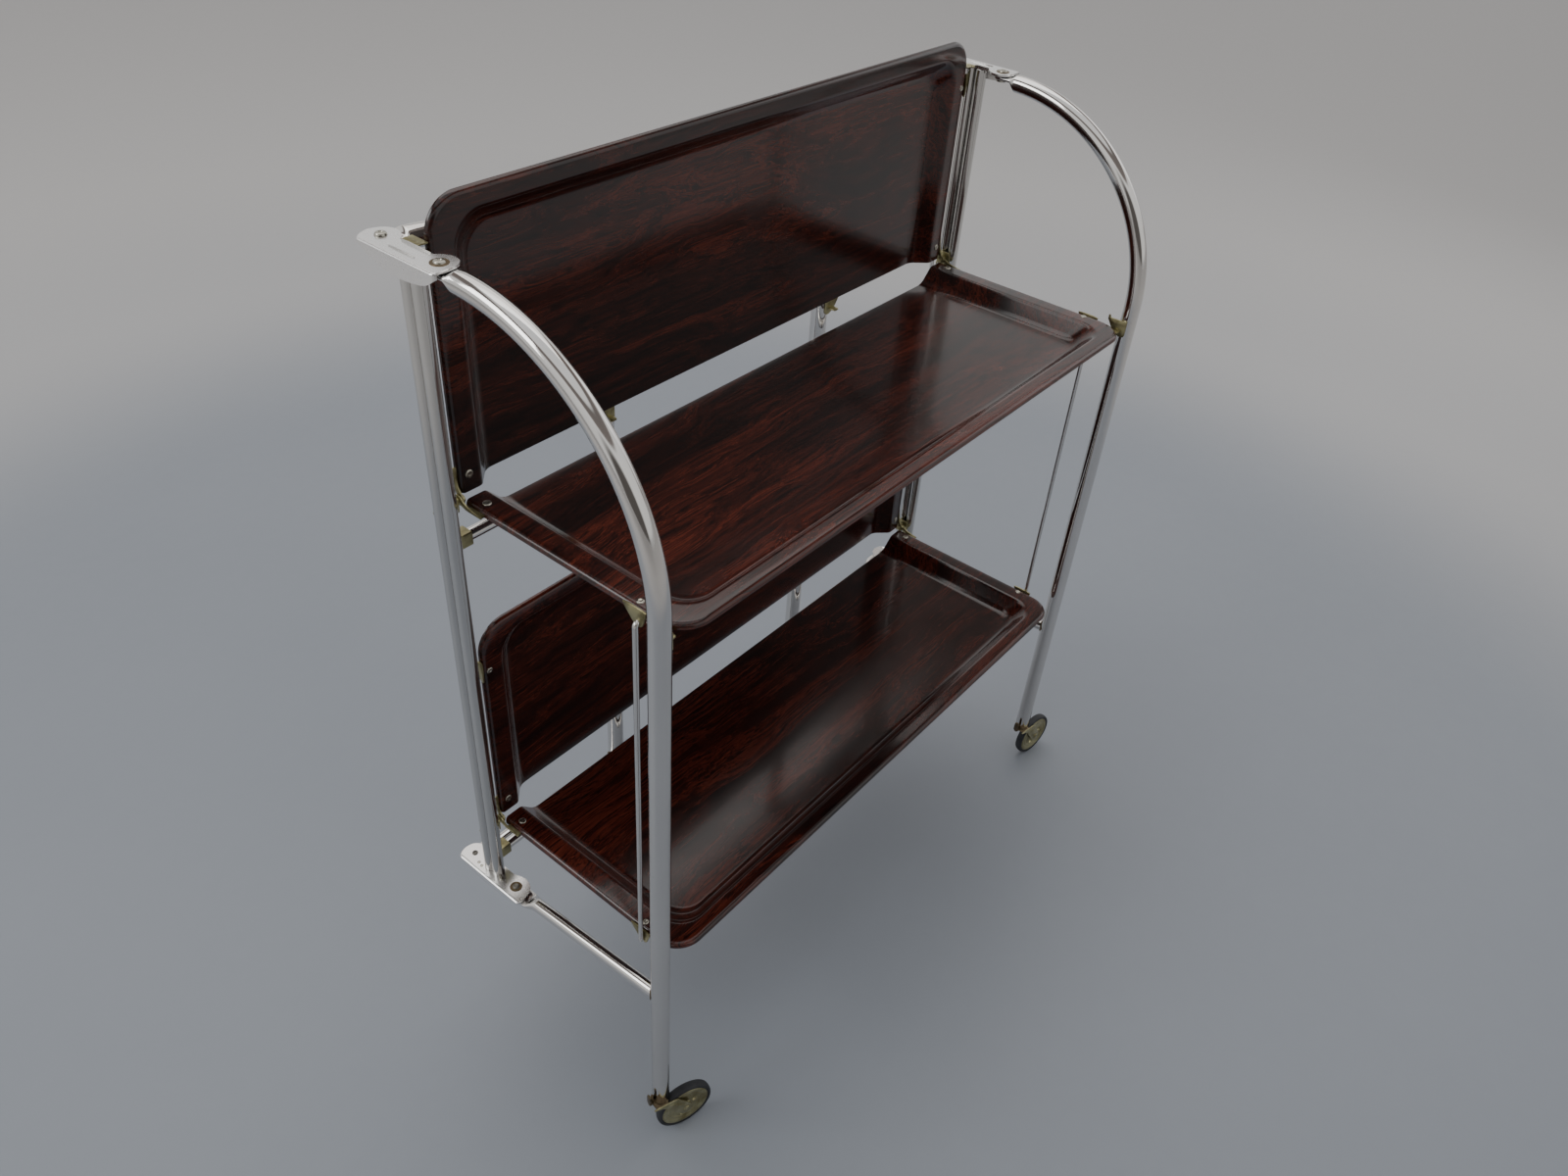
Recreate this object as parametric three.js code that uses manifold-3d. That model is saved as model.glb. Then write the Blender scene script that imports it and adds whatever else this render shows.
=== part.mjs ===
// Folding tea cart: two tube end posts, four swinging gates on castors and two pairs of hinged trays.
// Millimetres, +Z up, floor at z = 0, X along the cart, -Y is the front. Origin on the floor in the
// middle of the central frame.
import * as THREE from 'three';
import { mergeVertices } from 'three/addons/utils/BufferGeometryUtils.js';
import Module from 'manifold-3d';

const wasm = await Module();
wasm.setup();

// ---- driving dimensions -------------------------------------------------------------------------
const GAP = 0.3;               // between touching pieces
const PIVOT_X = 324, PIVOT_Y = 28.5;
const LEG_R = 8, LEG_BORE = 6.6, LEG_OUT = 181;      // leg axis to gate pivot
const ARC_R = 168.5, ARC_START = 12.5, ARC_Z = 616, LEG_Z0 = 52.3;
const TAB_T = 2, TAB_W = 9, TAB_TOP_Z = 787.1;
const BAR_R = 6, BAR_TAB_Z = 193.2, BAR_FRONT = [196.9, 211.9], BAR_REAR = [189.8, 189.8];  // bar heights by the tab and at the leg
const POST_R = 5.3, POST_BORE = 4.2, POST_Y = 5.5, POST_X = 324.2, POST_Z0 = 197.8, POST_Z1 = 789.1;
const PLATE_TOP = 791.4, PLATE_BOT = 197.5, PLATE_T = 2;
const STRETCH_R = 5, STRETCH_UP = 568.5, STRETCH_LOW = 219.5;
const HINGE_UP = 601.2, HINGE_LOW = 258.1, FLANGE_DROP = 1;
const LEAF_X = 309, LEAF_U = 215.6, LEAF_CORNER = 26, LEAF_T = 2.3, RIM = 5, DISH = 14.6, LEAF_END = 2;
const SHOULDER = 16.5, SHOULDER_R = 7, FOOT_R = 14, SLOPE = Math.PI / 4;   // pressed wall at the ends of a tray
const SHOULDER_FRONT = 12.5, PANEL_FRONT = 31.5;                          // the same wall along the front is narrower
const ROD_X = 313.3, ROD_R = 2.1, ROD_U = 177, ROD_H = -10.2, ROD_END = 307.6;
const WHEEL_R = 27.5, WHEEL_W = 8.4, TRAIL = 21.5, SIDE = 4.2, HUB_R = 23.6;

// ---- colours ------------------------------------------------------------------------------------
const mat = (c, r, m) => new THREE.MeshStandardMaterial({ color: c, roughness: r, metalness: m });
const CHROME = () => mat(0xb9c0c6, 0.16, 1.0);
const BRASS = () => mat(0x8f7c45, 0.38, 0.9);
const WOOD = () => mat(0x33100c, 0.24, 0.0);
const RUBBER = () => mat(0x3a3d42, 0.7, 0.0);

// ---- helpers ------------------------------------------------------------------------------------
const group = new THREE.Group();
group.name = 'tea_cart';

function solid(geo) {
  let g = geo.clone();
  g.deleteAttribute('normal');
  if (g.attributes.uv) g.deleteAttribute('uv');
  g = mergeVertices(g, 1e-4);
  return new wasm.Manifold(new wasm.Mesh({ numProp: 3, vertProperties: new Float32Array(g.attributes.position.array), triVerts: new Uint32Array(g.index.array) }));
}
function back(man) {
  const m = man.getMesh();
  const g = new THREE.BufferGeometry();
  const p = new Float32Array(m.numVert * 3);
  for (let i = 0; i < m.numVert; i++) for (let k = 0; k < 3; k++) p[i * 3 + k] = m.vertProperties[i * m.numProp + k];
  g.setAttribute('position', new THREE.BufferAttribute(p, 3));
  g.setIndex(Array.from(m.triVerts));
  return g;
}
const union = (...gs) => back(gs.map(solid).reduce((a, b) => a.add(b)));
const cut = (g, ...gs) => back(gs.map(solid).reduce((a, b) => a.subtract(b), solid(g)));

function raw(verts, tris) {
  const g = new THREE.BufferGeometry();
  g.setAttribute('position', new THREE.BufferAttribute(new Float32Array(verts.flat()), 3));
  g.setIndex(tris.flat());
  return g;
}
// maps every vertex, turning the triangles over when the map mirrors
function remap(geo, fn, mirror) {
  const g = geo.index ? geo.clone() : mergeVertices(geo);
  const p = g.attributes.position;
  for (let i = 0; i < p.count; i++) { const q = fn(p.getX(i), p.getY(i), p.getZ(i)); p.setXYZ(i, q[0], q[1], q[2]); }
  if (mirror) { const a = g.index.array; for (let i = 0; i < a.length; i += 3) { const t = a[i]; a[i] = a[i + 1]; a[i + 1] = t; } }
  return g;
}
function add(name, geo, material) {
  let g = geo.clone();
  if (g.attributes.uv) g.deleteAttribute('uv');
  if (g.index) g = g.toNonIndexed();
  g.computeVertexNormals();
  const m = new THREE.Mesh(g, material);
  m.name = name;
  group.add(m);
}
const box = (x0, x1, y0, y1, z0, z1) => { const g = new THREE.BoxGeometry(x1 - x0, y1 - y0, z1 - z0); g.translate((x0 + x1) / 2, (y0 + y1) / 2, (z0 + z1) / 2); return g; };
// cylinder along an axis, from a to b on it, at the other two coordinates
function cyl(axis, r, a, b, p, q, n = 12) {
  const g = new THREE.CylinderGeometry(r, r, b - a, n);
  const m = (a + b) / 2;
  if (axis === 'x') { g.rotateZ(Math.PI / 2); g.translate(m, p, q); }
  else if (axis === 'y') g.translate(p, m, q);
  else { g.rotateX(Math.PI / 2); g.translate(p, q, m); }
  return g;
}
// flat plate: outline in the (a, b) plane, thick from t0 to t1 on the third axis
function plate(axis, pts, t0, t1) {
  const s = new THREE.Shape(pts.map(p => new THREE.Vector2(p[0], p[1])));
  const g = new THREE.ExtrudeGeometry(s, { depth: t1 - t0, bevelEnabled: false, curveSegments: 6 });
  g.deleteAttribute('uv');
  const i = mergeVertices(g);
  if (axis === 'z') return remap(i, (a, b, c) => [a, b, c + t0], false);
  if (axis === 'x') return remap(i, (a, b, c) => [c + t0, a, b], false);
  return remap(i, (a, b, c) => [a, c + t0, b], true);
}
// closed profile [radius, along] spun about an axis line
function spin(axis, prof, n, p, q, along = 0) {
  const pts = prof.map(v => new THREE.Vector2(v[0], v[1]));
  pts.push(pts[0].clone());
  let g = new THREE.LatheGeometry(pts, n);
  g.deleteAttribute('normal'); g.deleteAttribute('uv');
  g = mergeVertices(g, 1e-4);
  const a = g.index.array, keep = [];
  for (let i = 0; i < a.length; i += 3) if (a[i] !== a[i + 1] && a[i + 1] !== a[i + 2] && a[i] !== a[i + 2]) keep.push(a[i], a[i + 1], a[i + 2]);
  g.setIndex(keep);
  const put = axis === 'y' ? (x, y, z) => [x + p, y + along, z + q] : axis === 'x' ? (x, y, z) => [y + along, -x + p, z + q] : (x, y, z) => [x + p, -z + q, y + along];
  g = remap(g, put, false);
  return volume(g) < 0 ? remap(g, (x, y, z) => [x, y, z], true) : g;
}
function volume(g) {
  const p = g.attributes.position, a = g.index.array;
  let v = 0;
  const A = new THREE.Vector3(), B = new THREE.Vector3(), C = new THREE.Vector3();
  for (let i = 0; i < a.length; i += 3) { A.fromBufferAttribute(p, a[i]); B.fromBufferAttribute(p, a[i + 1]); C.fromBufferAttribute(p, a[i + 2]); v += A.dot(B.cross(C)) / 6; }
  return v;
}
// sweep in the (x, z) plane: stations [x, z, tx, tz, half width across (y), half height in plane]
function sweep(st, n) {
  const v = [], t = [];
  st.forEach(([x, z, tx, tz, w, h]) => {
    const l = Math.hypot(tx, tz), nx = -tz / l, nz = tx / l;
    for (let i = 0; i < n; i++) { const a = 2 * Math.PI * (i + 0.5) / n; v.push([x + nx * h * Math.sin(a), w * Math.cos(a), z + nz * h * Math.sin(a)]); }
  });
  for (let s = 0; s + 1 < st.length; s++) for (let i = 0; i < n; i++) {
    const a = s * n + i, b = s * n + (i + 1) % n, c = a + n, d = b + n;
    t.push([a, b, c], [b, d, c]);
  }
  const c0 = v.length; v.push([st[0][0], 0, st[0][1]]);
  const e = st[st.length - 1], c1 = v.length; v.push([e[0], 0, e[1]]);
  const L = (st.length - 1) * n;
  for (let i = 0; i < n; i++) { t.push([c0, (i + 1) % n, i]); t.push([c1, L + i, L + (i + 1) % n]); }
  const g = raw(v, t);
  return volume(g) < 0 ? remap(g, (x, y, z) => [x, y, z], true) : g;
}

// ---- end posts: twin tubes held together by two cross rivets --------------------------------------
for (const [side, s] of [['left', -1], ['right', 1]]) {
  const x = s * POST_X;
  const tube = y => spin('z', [[POST_BORE, POST_Z0], [POST_R, POST_Z0], [POST_R, POST_Z1], [POST_BORE, POST_Z1]], 14, x, y);
  const pin = z => union(cyl('y', 2.2, -9, 10.2, x, z, 8), cyl('y', 3.4, 10.0, 11.9, x, z, 8));
  add(`end_post_${side}`, union(tube(-POST_Y), tube(POST_Y), pin(591.6), pin(245.5)), CHROME());
}

// ---- brackets: folded plates with the gate pivots in them -----------------------------------------
const TOP_PLAN = [[14, 34], [11, 38.2], [4, 40.6], [-4, 40], [-9.5, 36.4], [-12, 30.5], [-11.4, 24], [-8, 18.8], [-4.5, 15.5], [-4.5, -15.5], [-8, -18.8], [-11.4, -24], [-12, -30.5], [-9.5, -35.8], [-4, -38.6], [4, -39.3], [12, -39.3], [14, -37]];
const TOP_SKIRT = [[-37, -0.2], [-37, -6.5], [-31, -9.8], [-22, -12], [-10, -13.4], [2, -13.4], [14, -11.2], [24, -7.6], [34, -2.4], [34, -0.2]];
const LOW_PLAN = [[12, 35.5], [9, 38.4], [3, 40], [-5, 39], [-9.5, 35], [-11.5, 28.5], [-10.5, 22], [-8, 16], [-8, -16], [-10.5, -22], [-11.5, -30], [-9, -38], [-3, -42.5], [4, -44], [10, -44], [12, -42]];
const LOW_SKIRT = [[-42, -0.2], [-42, -2.8], [-33, -5.2], [-18, -6.8], [0, -7.2], [18, -6], [35.5, -2.4], [35.5, -0.2]];
for (const [side, s] of [['left', -1], ['right', 1]]) {
  const X = o => s * (PIVOT_X + o);
  const put = g => remap(g, (x, y, z) => [X(x), y, z], s < 0);
  const dome = (y, z, r, h) => spin('z', [[0, 0], [r, 0], [r, h * 0.5], [r * 0.75, h], [0, h]], 12, 0, y, z);
  let top = union(plate('z', TOP_PLAN, PLATE_TOP - PLATE_T, PLATE_TOP),
    plate('x', TOP_SKIRT.map(p => [p[0], PLATE_TOP + p[1]]), 12.4, 14),
    plate('z', [[6, -13], [7.6, -13], [7.6, 11], [6, 11]], PLATE_TOP - 0.5, PLATE_TOP + 0.8),
    plate('z', [[-4.5, -15], [-2.7, -15], [-2.7, 12], [-4.5, 12]], PLATE_TOP - 0.5, PLATE_TOP + 1.2));
  for (const y of [-PIVOT_Y, PIVOT_Y]) top = union(top, cyl('z', 3, 783.4, PLATE_TOP - 0.6, 0, y, 12), cyl('z', 5, 782.9, 784.8, 0, y, 12), dome(y, PLATE_TOP - 0.3, 4.1, 1.9));
  add(`top_bracket_${side}`, put(top), CHROME());
  let low = union(plate('z', LOW_PLAN, PLATE_BOT - PLATE_T, PLATE_BOT), plate('x', LOW_SKIRT.map(p => [p[0], PLATE_BOT + p[1]]), 10.4, 12));
  for (const y of [-PIVOT_Y, PIVOT_Y]) low = union(low, cyl('z', 3, 190.4, PLATE_BOT - 1, 0, y, 12), cyl('z', 4.8, 189.2, 190.9, 0, y, 12), dome(y, PLATE_BOT - 0.2, y < 0 ? 4.2 : 3.1, y < 0 ? 1.9 : 1.3));
  add(`bottom_bracket_${side}`, put(low), CHROME());
}

// ---- stretchers -----------------------------------------------------------------------------------
for (const [n, z] of [['upper_stretcher', STRETCH_UP], ['lower_stretcher', STRETCH_LOW]]) {
  const e = POST_X - POST_R - GAP, r = STRETCH_R, c = 5.9;
  const block = x => box(x, x + 10.6, -c, c, z - c, z + c);
  add(n, cut(union(cyl('x', r, -310, 310, 0, z, 14), block(-e), block(e - 10.6)), cyl('x', r - 1, -e - 2, e + 2, 0, z, 12)), CHROME());
}

// ---- leaf hinge plates with their pins ------------------------------------------------------------
for (const [lvl, z] of [['upper', HINGE_UP], ['lower', HINGE_LOW]]) for (const [side, s] of [['left', -1], ['right', 1]]) {
  const o = [[-6.5, -5], [-5, -6.5], [5, -6.5], [6.5, -5], [6.5, 5], [5, 6.5], [-5, 6.5], [-6.5, 5]];
  const g = union(plate('x', o.map(p => [p[0], p[1] + z]), 316.8, 318.6), cyl('x', 2.1, 308.6, 317.4, 0, z, 12), cyl('x', 3.2, 307.9, 309.3, 0, z, 12));
  add(`hinge_plate_${lvl}_${side}`, remap(g, (x, y, q) => [s * x, y, q], s < 0), BRASS());
}

// ---- gates ----------------------------------------------------------------------------------------
// local frame: x from the pivot to the leg, y towards the middle of the cart when open, z up
function gateLeg() {
  const st = (r, dw, from) => {
    const a = [];
    if (from) a.push([-8, TAB_TOP_Z, 1, 0, 3.4, TAB_T], [-6, TAB_TOP_Z, 1, 0, 6.6, TAB_T], [-2.5, TAB_TOP_Z, 1, 0, 8.6, TAB_T], [3, TAB_TOP_Z, 1, 0, TAB_W, TAB_T], [12.3, TAB_TOP_Z, 1, 0, TAB_W, TAB_T]);
    const p0 = from ? 1.55 : 6, N = from ? 10 : 7;
    for (let i = 0; i <= N; i++) { const f = (p0 + (90 - p0) * i / N) * Math.PI / 180; a.push([ARC_START + ARC_R * Math.sin(f), ARC_Z + ARC_R * Math.cos(f), Math.cos(f), -Math.sin(f), r, r]); }
    a.push([LEG_OUT, LEG_Z0 - (from ? 0 : 2), 0, -1, r, r]);
    return a;
  };
  return cut(sweep(st(LEG_R, 0, true), 16), sweep(st(LEG_BORE, 0, false), 8), cyl('z', 3.3, 780, 794, 0, 0, 12));
}
function gateBar([z0, z1]) {
  const z = BAR_TAB_Z, k = (z1 - z0) / (LEG_OUT - 30), at = x => z0 + k * (x - 30);
  const g = sweep([[-8, z, 1, 0, 3, TAB_T], [-6, z, 1, 0, 6, TAB_T], [-2.5, z, 1, 0, 7.8, TAB_T], [3, z, 1, 0, 8.4, TAB_T], [17, z, 1, 0, 8.4, TAB_T], [23.5, (z + z0) / 2, 1, (z0 - z) / 13, 7.6, 4], [30, z0, 1, k, BAR_R, BAR_R], [LEG_OUT - 3, at(LEG_OUT - 3), 1, k, BAR_R, BAR_R]], 14);
  return cut(g, cyl('z', 3.3, 180, 205, 0, 0, 12), cyl('z', LEG_R + GAP, 170, 230, LEG_OUT, 0, 20));
}
function leafSupport() {
  const flag = plate('y', [[164, 606], [164, 601.5], [169.4, 593.6], [176.5, 588.4], [181.5, 587.6], [LEG_OUT + 2.5, 590], [LEG_OUT + 2.5, 604], [165.6, 603.4], [165.6, 606]], LEG_R + GAP, LEG_R + GAP + 1.7);
  return union(flag, box(172.5, 179.5, LEG_R + GAP + 0.2, 17.4, 592.9, 594.3));
}
const LEG = gateLeg(), BARS = { front: gateBar(BAR_FRONT), rear: gateBar(BAR_REAR) }, SUP = leafSupport();
const GATES = {
  front_left: [(x, y, z) => [-PIVOT_X + y, -PIVOT_Y - x, z], false, -0.33],
  front_right: [(x, y, z) => [PIVOT_X - y, -PIVOT_Y - x, z], true, -0.15],
  rear_left: [(x, y, z) => [-PIVOT_X + x, PIVOT_Y - y, z], true, 0.2],
  rear_right: [(x, y, z) => [PIVOT_X - x, PIVOT_Y - y, z], false, -0.1],
};
for (const [n, [fn, mir, heading]] of Object.entries(GATES)) {
  add(`gate_leg_${n}`, remap(LEG, fn, mir), CHROME());
  add(`gate_bar_${n}`, remap(BARS[n.split('_')[0]], fn, mir), CHROME());
  add(`leaf_support_${n}`, remap(SUP, fn, mir), BRASS());
  // castor: x backwards from the leg axis, wheel on the -y side
  const [cx, cy] = fn(LEG_OUT, 0, 0), ca = Math.cos(heading), sa = Math.sin(heading);
  const turn = g => remap(g, (x, y, z) => [cx + x * ca - y * sa, cy + x * sa + y * ca, z], false);
  const w = WHEEL_W / 2, y0 = -SIDE - w, y1 = -SIDE + w;
  const saddle = plate('z', [[-9.6, 3], [-9.6, -5], [-8, -10.4], [4.8, -10.4], [4.8, 5], [2, 8], [-3, 8], [-7, 6]], 49.9, 51.6);
  const cheek = plate('y', [[-11, 51.6], [-10.6, 49.8], [-1, 47.8], [15, 23.6], [18, 20.4], [21.5, 19.2], [25.6, 20.6], [28, 25], [27.6, 30], [21, 40], [14.4, 48.6], [12.6, 51.6]], y0 - 2, y0 - 0.5);
  const tab = box(-12.4, -10.8, -3.2, 3.2, 48.4, 62.5);
  const fork = union(saddle, cheek, tab, box(-11.5, -8, -3, 3, 49.9, 51.6), cyl('z', 4.5, 50.5, 80, 0, 0, 12),
    cyl('y', 2.4, y0 - 1, y1 + 1, TRAIL, WHEEL_R, 10), cyl('y', 3.6, y0 - 3.2, y0 - 1.5, TRAIL, WHEEL_R, 10), cyl('y', 3.8, y1 + 0.4, y1 + 1.7, TRAIL, WHEEL_R, 10));
  add(`castor_fork_${n}`, turn(fork), BRASS());
  add(`castor_hub_${n}`, turn(spin('y', [[2.7, -w], [5.6, -w], [7, -w + 1.9], [15, -w + 1.9], [18.6, -w + 0.3], [HUB_R, -w + 0.8], [HUB_R, w - 0.8], [18.6, w - 0.3], [15, w - 1.9], [7, w - 1.9], [5.6, w], [2.7, w]], 18, TRAIL, WHEEL_R, -SIDE)), BRASS());
  add(`castor_tyre_${n}`, turn(spin('y', [[HUB_R + GAP, -w + 0.5], [25.4, -w + 0.1], [WHEEL_R, -w + 2.4], [WHEEL_R, w - 2.4], [25.4, w - 0.1], [HUB_R + GAP, w - 0.5]], 24, TRAIL, WHEEL_R, -SIDE)), RUBBER());
}

// ---- leaves: moulded trays, local frame x along the cart, u out from the hinge, h up from the flange
function leaf() {
  const half = 12;            // points per half ring
  const end = d => d < 0.01 ? 4.8 : LEAF_END + 2.2 * Math.max(0, 1 - d / 4);
  // inset along the front for an inset d at the ends, and corner radius there
  const front = d => d <= 5 ? d : d <= SHOULDER ? 5 + (d - 5) * (SHOULDER_FRONT - 5) / (SHOULDER - 5) : SHOULDER_FRONT + (d - SHOULDER) * (PANEL_FRONT - SHOULDER_FRONT) / (PANEL - SHOULDER);
  const rad = d => d <= 5 ? LEAF_CORNER - d * 0.6 : d <= SHOULDER ? 23 + 2 * (d - 5) / (SHOULDER - 5) : 25 - 3 * (d - SHOULDER) / (PANEL - SHOULDER);
  // rounded shoulder, slope and foot of the pressed wall, and the same a wall thickness below
  const rise = (DISH - (SHOULDER_R + FOOT_R) * (1 - Math.cos(SLOPE))) / Math.tan(SLOPE);
  const PANEL = SHOULDER + (SHOULDER_R + FOOT_R) * Math.sin(SLOPE) + rise;
  const skin = t => {
    const a = [];
    for (const k of t ? [0, 0.5, 1] : [0, 1 / 3, 2 / 3, 1]) a.push([SHOULDER + (SHOULDER_R - t) * Math.sin(k * SLOPE), -SHOULDER_R + (SHOULDER_R - t) * Math.cos(k * SLOPE)]);
    for (const k of t ? [1, 0.5, 0] : [1, 2 / 3, 1 / 3, 0]) a.push([PANEL - (FOOT_R + t) * Math.sin(k * SLOPE), FOOT_R - DISH - (FOOT_R + t) * Math.cos(k * SLOPE)]);
    return a;
  };
  const ring = (d, h) => {
    const X = LEAF_X - d, U = LEAF_U - front(d), r = rad(d), v = [];
    for (const u of [end(d), 30, 100]) v.push([-X, u, h]);
    for (let i = 0; i <= half - 4; i++) { const a = Math.PI / 2 * i / (half - 4); v.push([-X + r - r * Math.cos(a), U - r + r * Math.sin(a), h]); }
    const left = v.slice().reverse();
    v.push([0, U, h]);
    for (const q of left) v.push([-q[0], q[1], h]);
    return v;
  };
  const top = [[0, -RIM], [0, -4], [0.3, -2.5], [1.2, -1.2], [2.5, -0.3], [4, 0], ...skin(0)];
  const bot = [[LEAF_T, -RIM], [LEAF_T, -4], [2.8, -2.8], [4, -LEAF_T], ...skin(LEAF_T)];
  const prof = [...top, ...bot.slice().reverse()];     // closed section, rim bottom to rim bottom
  const rings = prof.map(p => ring(p[0], p[1])), n = rings[0].length;
  const v = rings.flat(), t = [], id = (r, i) => r * n + i;
  const K = top.length;
  for (let r = 0; r < rings.length; r++) {
    const q = (r + 1) % rings.length;
    if (r === K - 1) continue;                           // the panel itself closes between these two
    for (let i = 0; i + 1 < n; i++) t.push([id(r, i), id(q, i), id(r, i + 1)], [id(q, i), id(q, i + 1), id(r, i + 1)]);
  }
  for (const r of [K - 1, K]) {                          // panel faces
    const poly = rings[r].map(p => new THREE.Vector2(p[0], p[1]));
    const f = THREE.ShapeUtils.triangulateShape(poly, []);
    for (const [a, b, c] of f) t.push(r === K - 1 ? [id(r, a), id(r, c), id(r, b)] : [id(r, a), id(r, b), id(r, c)]);
  }
  const sec = prof.map(p => new THREE.Vector2(p[0], p[1]));
  for (const [a, b, c] of THREE.ShapeUtils.triangulateShape(sec, [])) { t.push([id(a, 0), id(c, 0), id(b, 0)]); t.push([id(a, n - 1), id(b, n - 1), id(c, n - 1)]); }
  const A = id(K - 1, 0), B = id(K, 0), C = id(K - 1, n - 1), D = id(K, n - 1);
  t.push([A, B, C], [B, D, C]);
  // orient every triangle consistently by flooding
  return orient(raw(v, t));
}
function orient(g) {
  const a = Array.from(g.index.array), m = a.length / 3, edge = new Map();
  for (let i = 0; i < m; i++) for (let k = 0; k < 3; k++) { const p = a[3 * i + k], q = a[3 * i + (k + 1) % 3], key = p < q ? `${p}_${q}` : `${q}_${p}`; if (!edge.has(key)) edge.set(key, []); edge.get(key).push([i, p < q]); }
  const seen = new Array(m).fill(false), flip = new Array(m).fill(false), st = [0];
  seen[0] = true;
  while (st.length) {
    const i = st.pop();
    for (let k = 0; k < 3; k++) {
      const p = a[3 * i + k], q = a[3 * i + (k + 1) % 3], key = p < q ? `${p}_${q}` : `${q}_${p}`;
      const self = edge.get(key).find(e => e[0] === i);
      for (const o of edge.get(key)) if (!seen[o[0]]) { seen[o[0]] = true; flip[o[0]] = (o[1] === self[1]) !== flip[i]; st.push(o[0]); }
    }
  }
  for (let i = 0; i < m; i++) if (flip[i]) { const x = a[3 * i]; a[3 * i] = a[3 * i + 1]; a[3 * i + 1] = x; }
  g.setIndex(a);
  return volume(g) < 0 ? remap(g, (x, y, z) => [x, y, z], true) : g;
}
const notch = (s, u0, u1) => box(Math.min(s * 304, s * 312), Math.max(s * 304, s * 312), u0, u1, -RIM - 2, -LEAF_T - 0.02);
const LEAF = cut(leaf(), notch(-1, -2, 26), notch(1, -2, 26), notch(-1, 162, 185.6), notch(1, 162, 185.6));
const PLACE = {
  front_upper: [(x, u, h) => [x, -u, HINGE_UP - FLANGE_DROP + h], true],
  front_lower: [(x, u, h) => [x, -u, HINGE_LOW - FLANGE_DROP + h], true],
  rear_upper: [(x, u, h) => [x, FLANGE_DROP - h, HINGE_UP + u], false],
  rear_lower: [(x, u, h) => [x, FLANGE_DROP - h, HINGE_LOW + u], false],
};
for (const [n, [fn, mir]] of Object.entries(PLACE)) {
  add(`leaf_${n}`, remap(LEAF, fn, mir), WOOD());
  const rear = n.startsWith('rear');
  for (const [side, s] of [['left', -1], ['right', 1]]) {
    const w0 = rear ? 309.7 : 311.6, w1 = w0 + 1.5, h0 = -LEAF_T - GAP;
    const eye = [];
    for (let i = 0; i <= 7; i++) { const a = (20 + i * 33) * Math.PI / 180; eye.push([4.4 * Math.cos(a), FLANGE_DROP + 4.4 * Math.sin(a)]); }
    const web = plate('x', [...eye, [8, h0 - 1.5], [24, h0 - 1.5], [24, h0 - 0.3], [15, -1.6], [9, -0.2]], w0, w1);
    const foot = plate('z', [[296.5, 9.5], [w0 + 0.5, 8.4], [w0 + 0.5, 24], [293.5, 22.5]], h0 - 1.5, h0);
    let lug = cut(union(web, foot), cyl('x', 2.4, 300, 320, 0, FLANGE_DROP, 12));
    add(`hinge_lug_${n}_${side}`, remap(lug, (x, u, h) => fn(s * x, u, h), s < 0 ? !mir : mir), BRASS());
    const R0 = LEAF_X + 0.3, R1 = R0 + 1.5;
    const tri = plate('x', [[163, 0.6], [163.4, -1.8], [173.2, -12.2], [175, -13.6], [ROD_U, -14.1], [179, -13.6], [180.6, -12.2], [184, -2], [184, 0.6]], R0, R1);
    const shelf = plate('z', [[296.5, 164.5], [R0 + 0.4, 163.6], [R0 + 0.4, 183.6], [296.5, 180]], h0 - 1.4, h0);
    lug = cut(union(tri, shelf), cyl('x', ROD_R + GAP, 300, 320, ROD_U, ROD_H, 12));
    add(`rod_lug_${n}_${side}`, remap(lug, (x, u, h) => fn(s * x, u, h), s < 0 ? !mir : mir), BRASS());
  }
}

// ---- tie rods joining the upper and lower tray on each side: bent wire, an end in each rod lug ----
for (const [row, up, low] of [['front', PLACE.front_upper[0], PLACE.front_lower[0]], ['rear', PLACE.rear_upper[0], PLACE.rear_lower[0]]]) for (const [side, s] of [['left', -1], ['right', 1]]) {
  const a = up(s * ROD_X, ROD_U, ROD_H), b = low(s * ROD_X, ROD_U, ROD_H), y = a[1];
  const path = [[ROD_END, b[2], 1, 0], [ROD_X - 1.6, b[2], 1, 0], [ROD_X - 0.45, b[2] + 0.45, 1, 1], [ROD_X, b[2] + 1.6, 0, 1], [ROD_X, a[2] - 1.6, 0, 1], [ROD_X - 0.45, a[2] - 0.45, -1, 1], [ROD_X - 1.6, a[2], -1, 0], [ROD_END, a[2], -1, 0]];
  const rod = sweep(path.map(p => [...p, ROD_R, ROD_R]), 10);
  add(`tie_rod_${row}_${side}`, remap(rod, (x, yy, z) => [s * x, yy + y, z], s < 0), CHROME());
}

export default group;
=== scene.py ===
import math
import random

import bpy
from mathutils import Matrix, Vector


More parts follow.
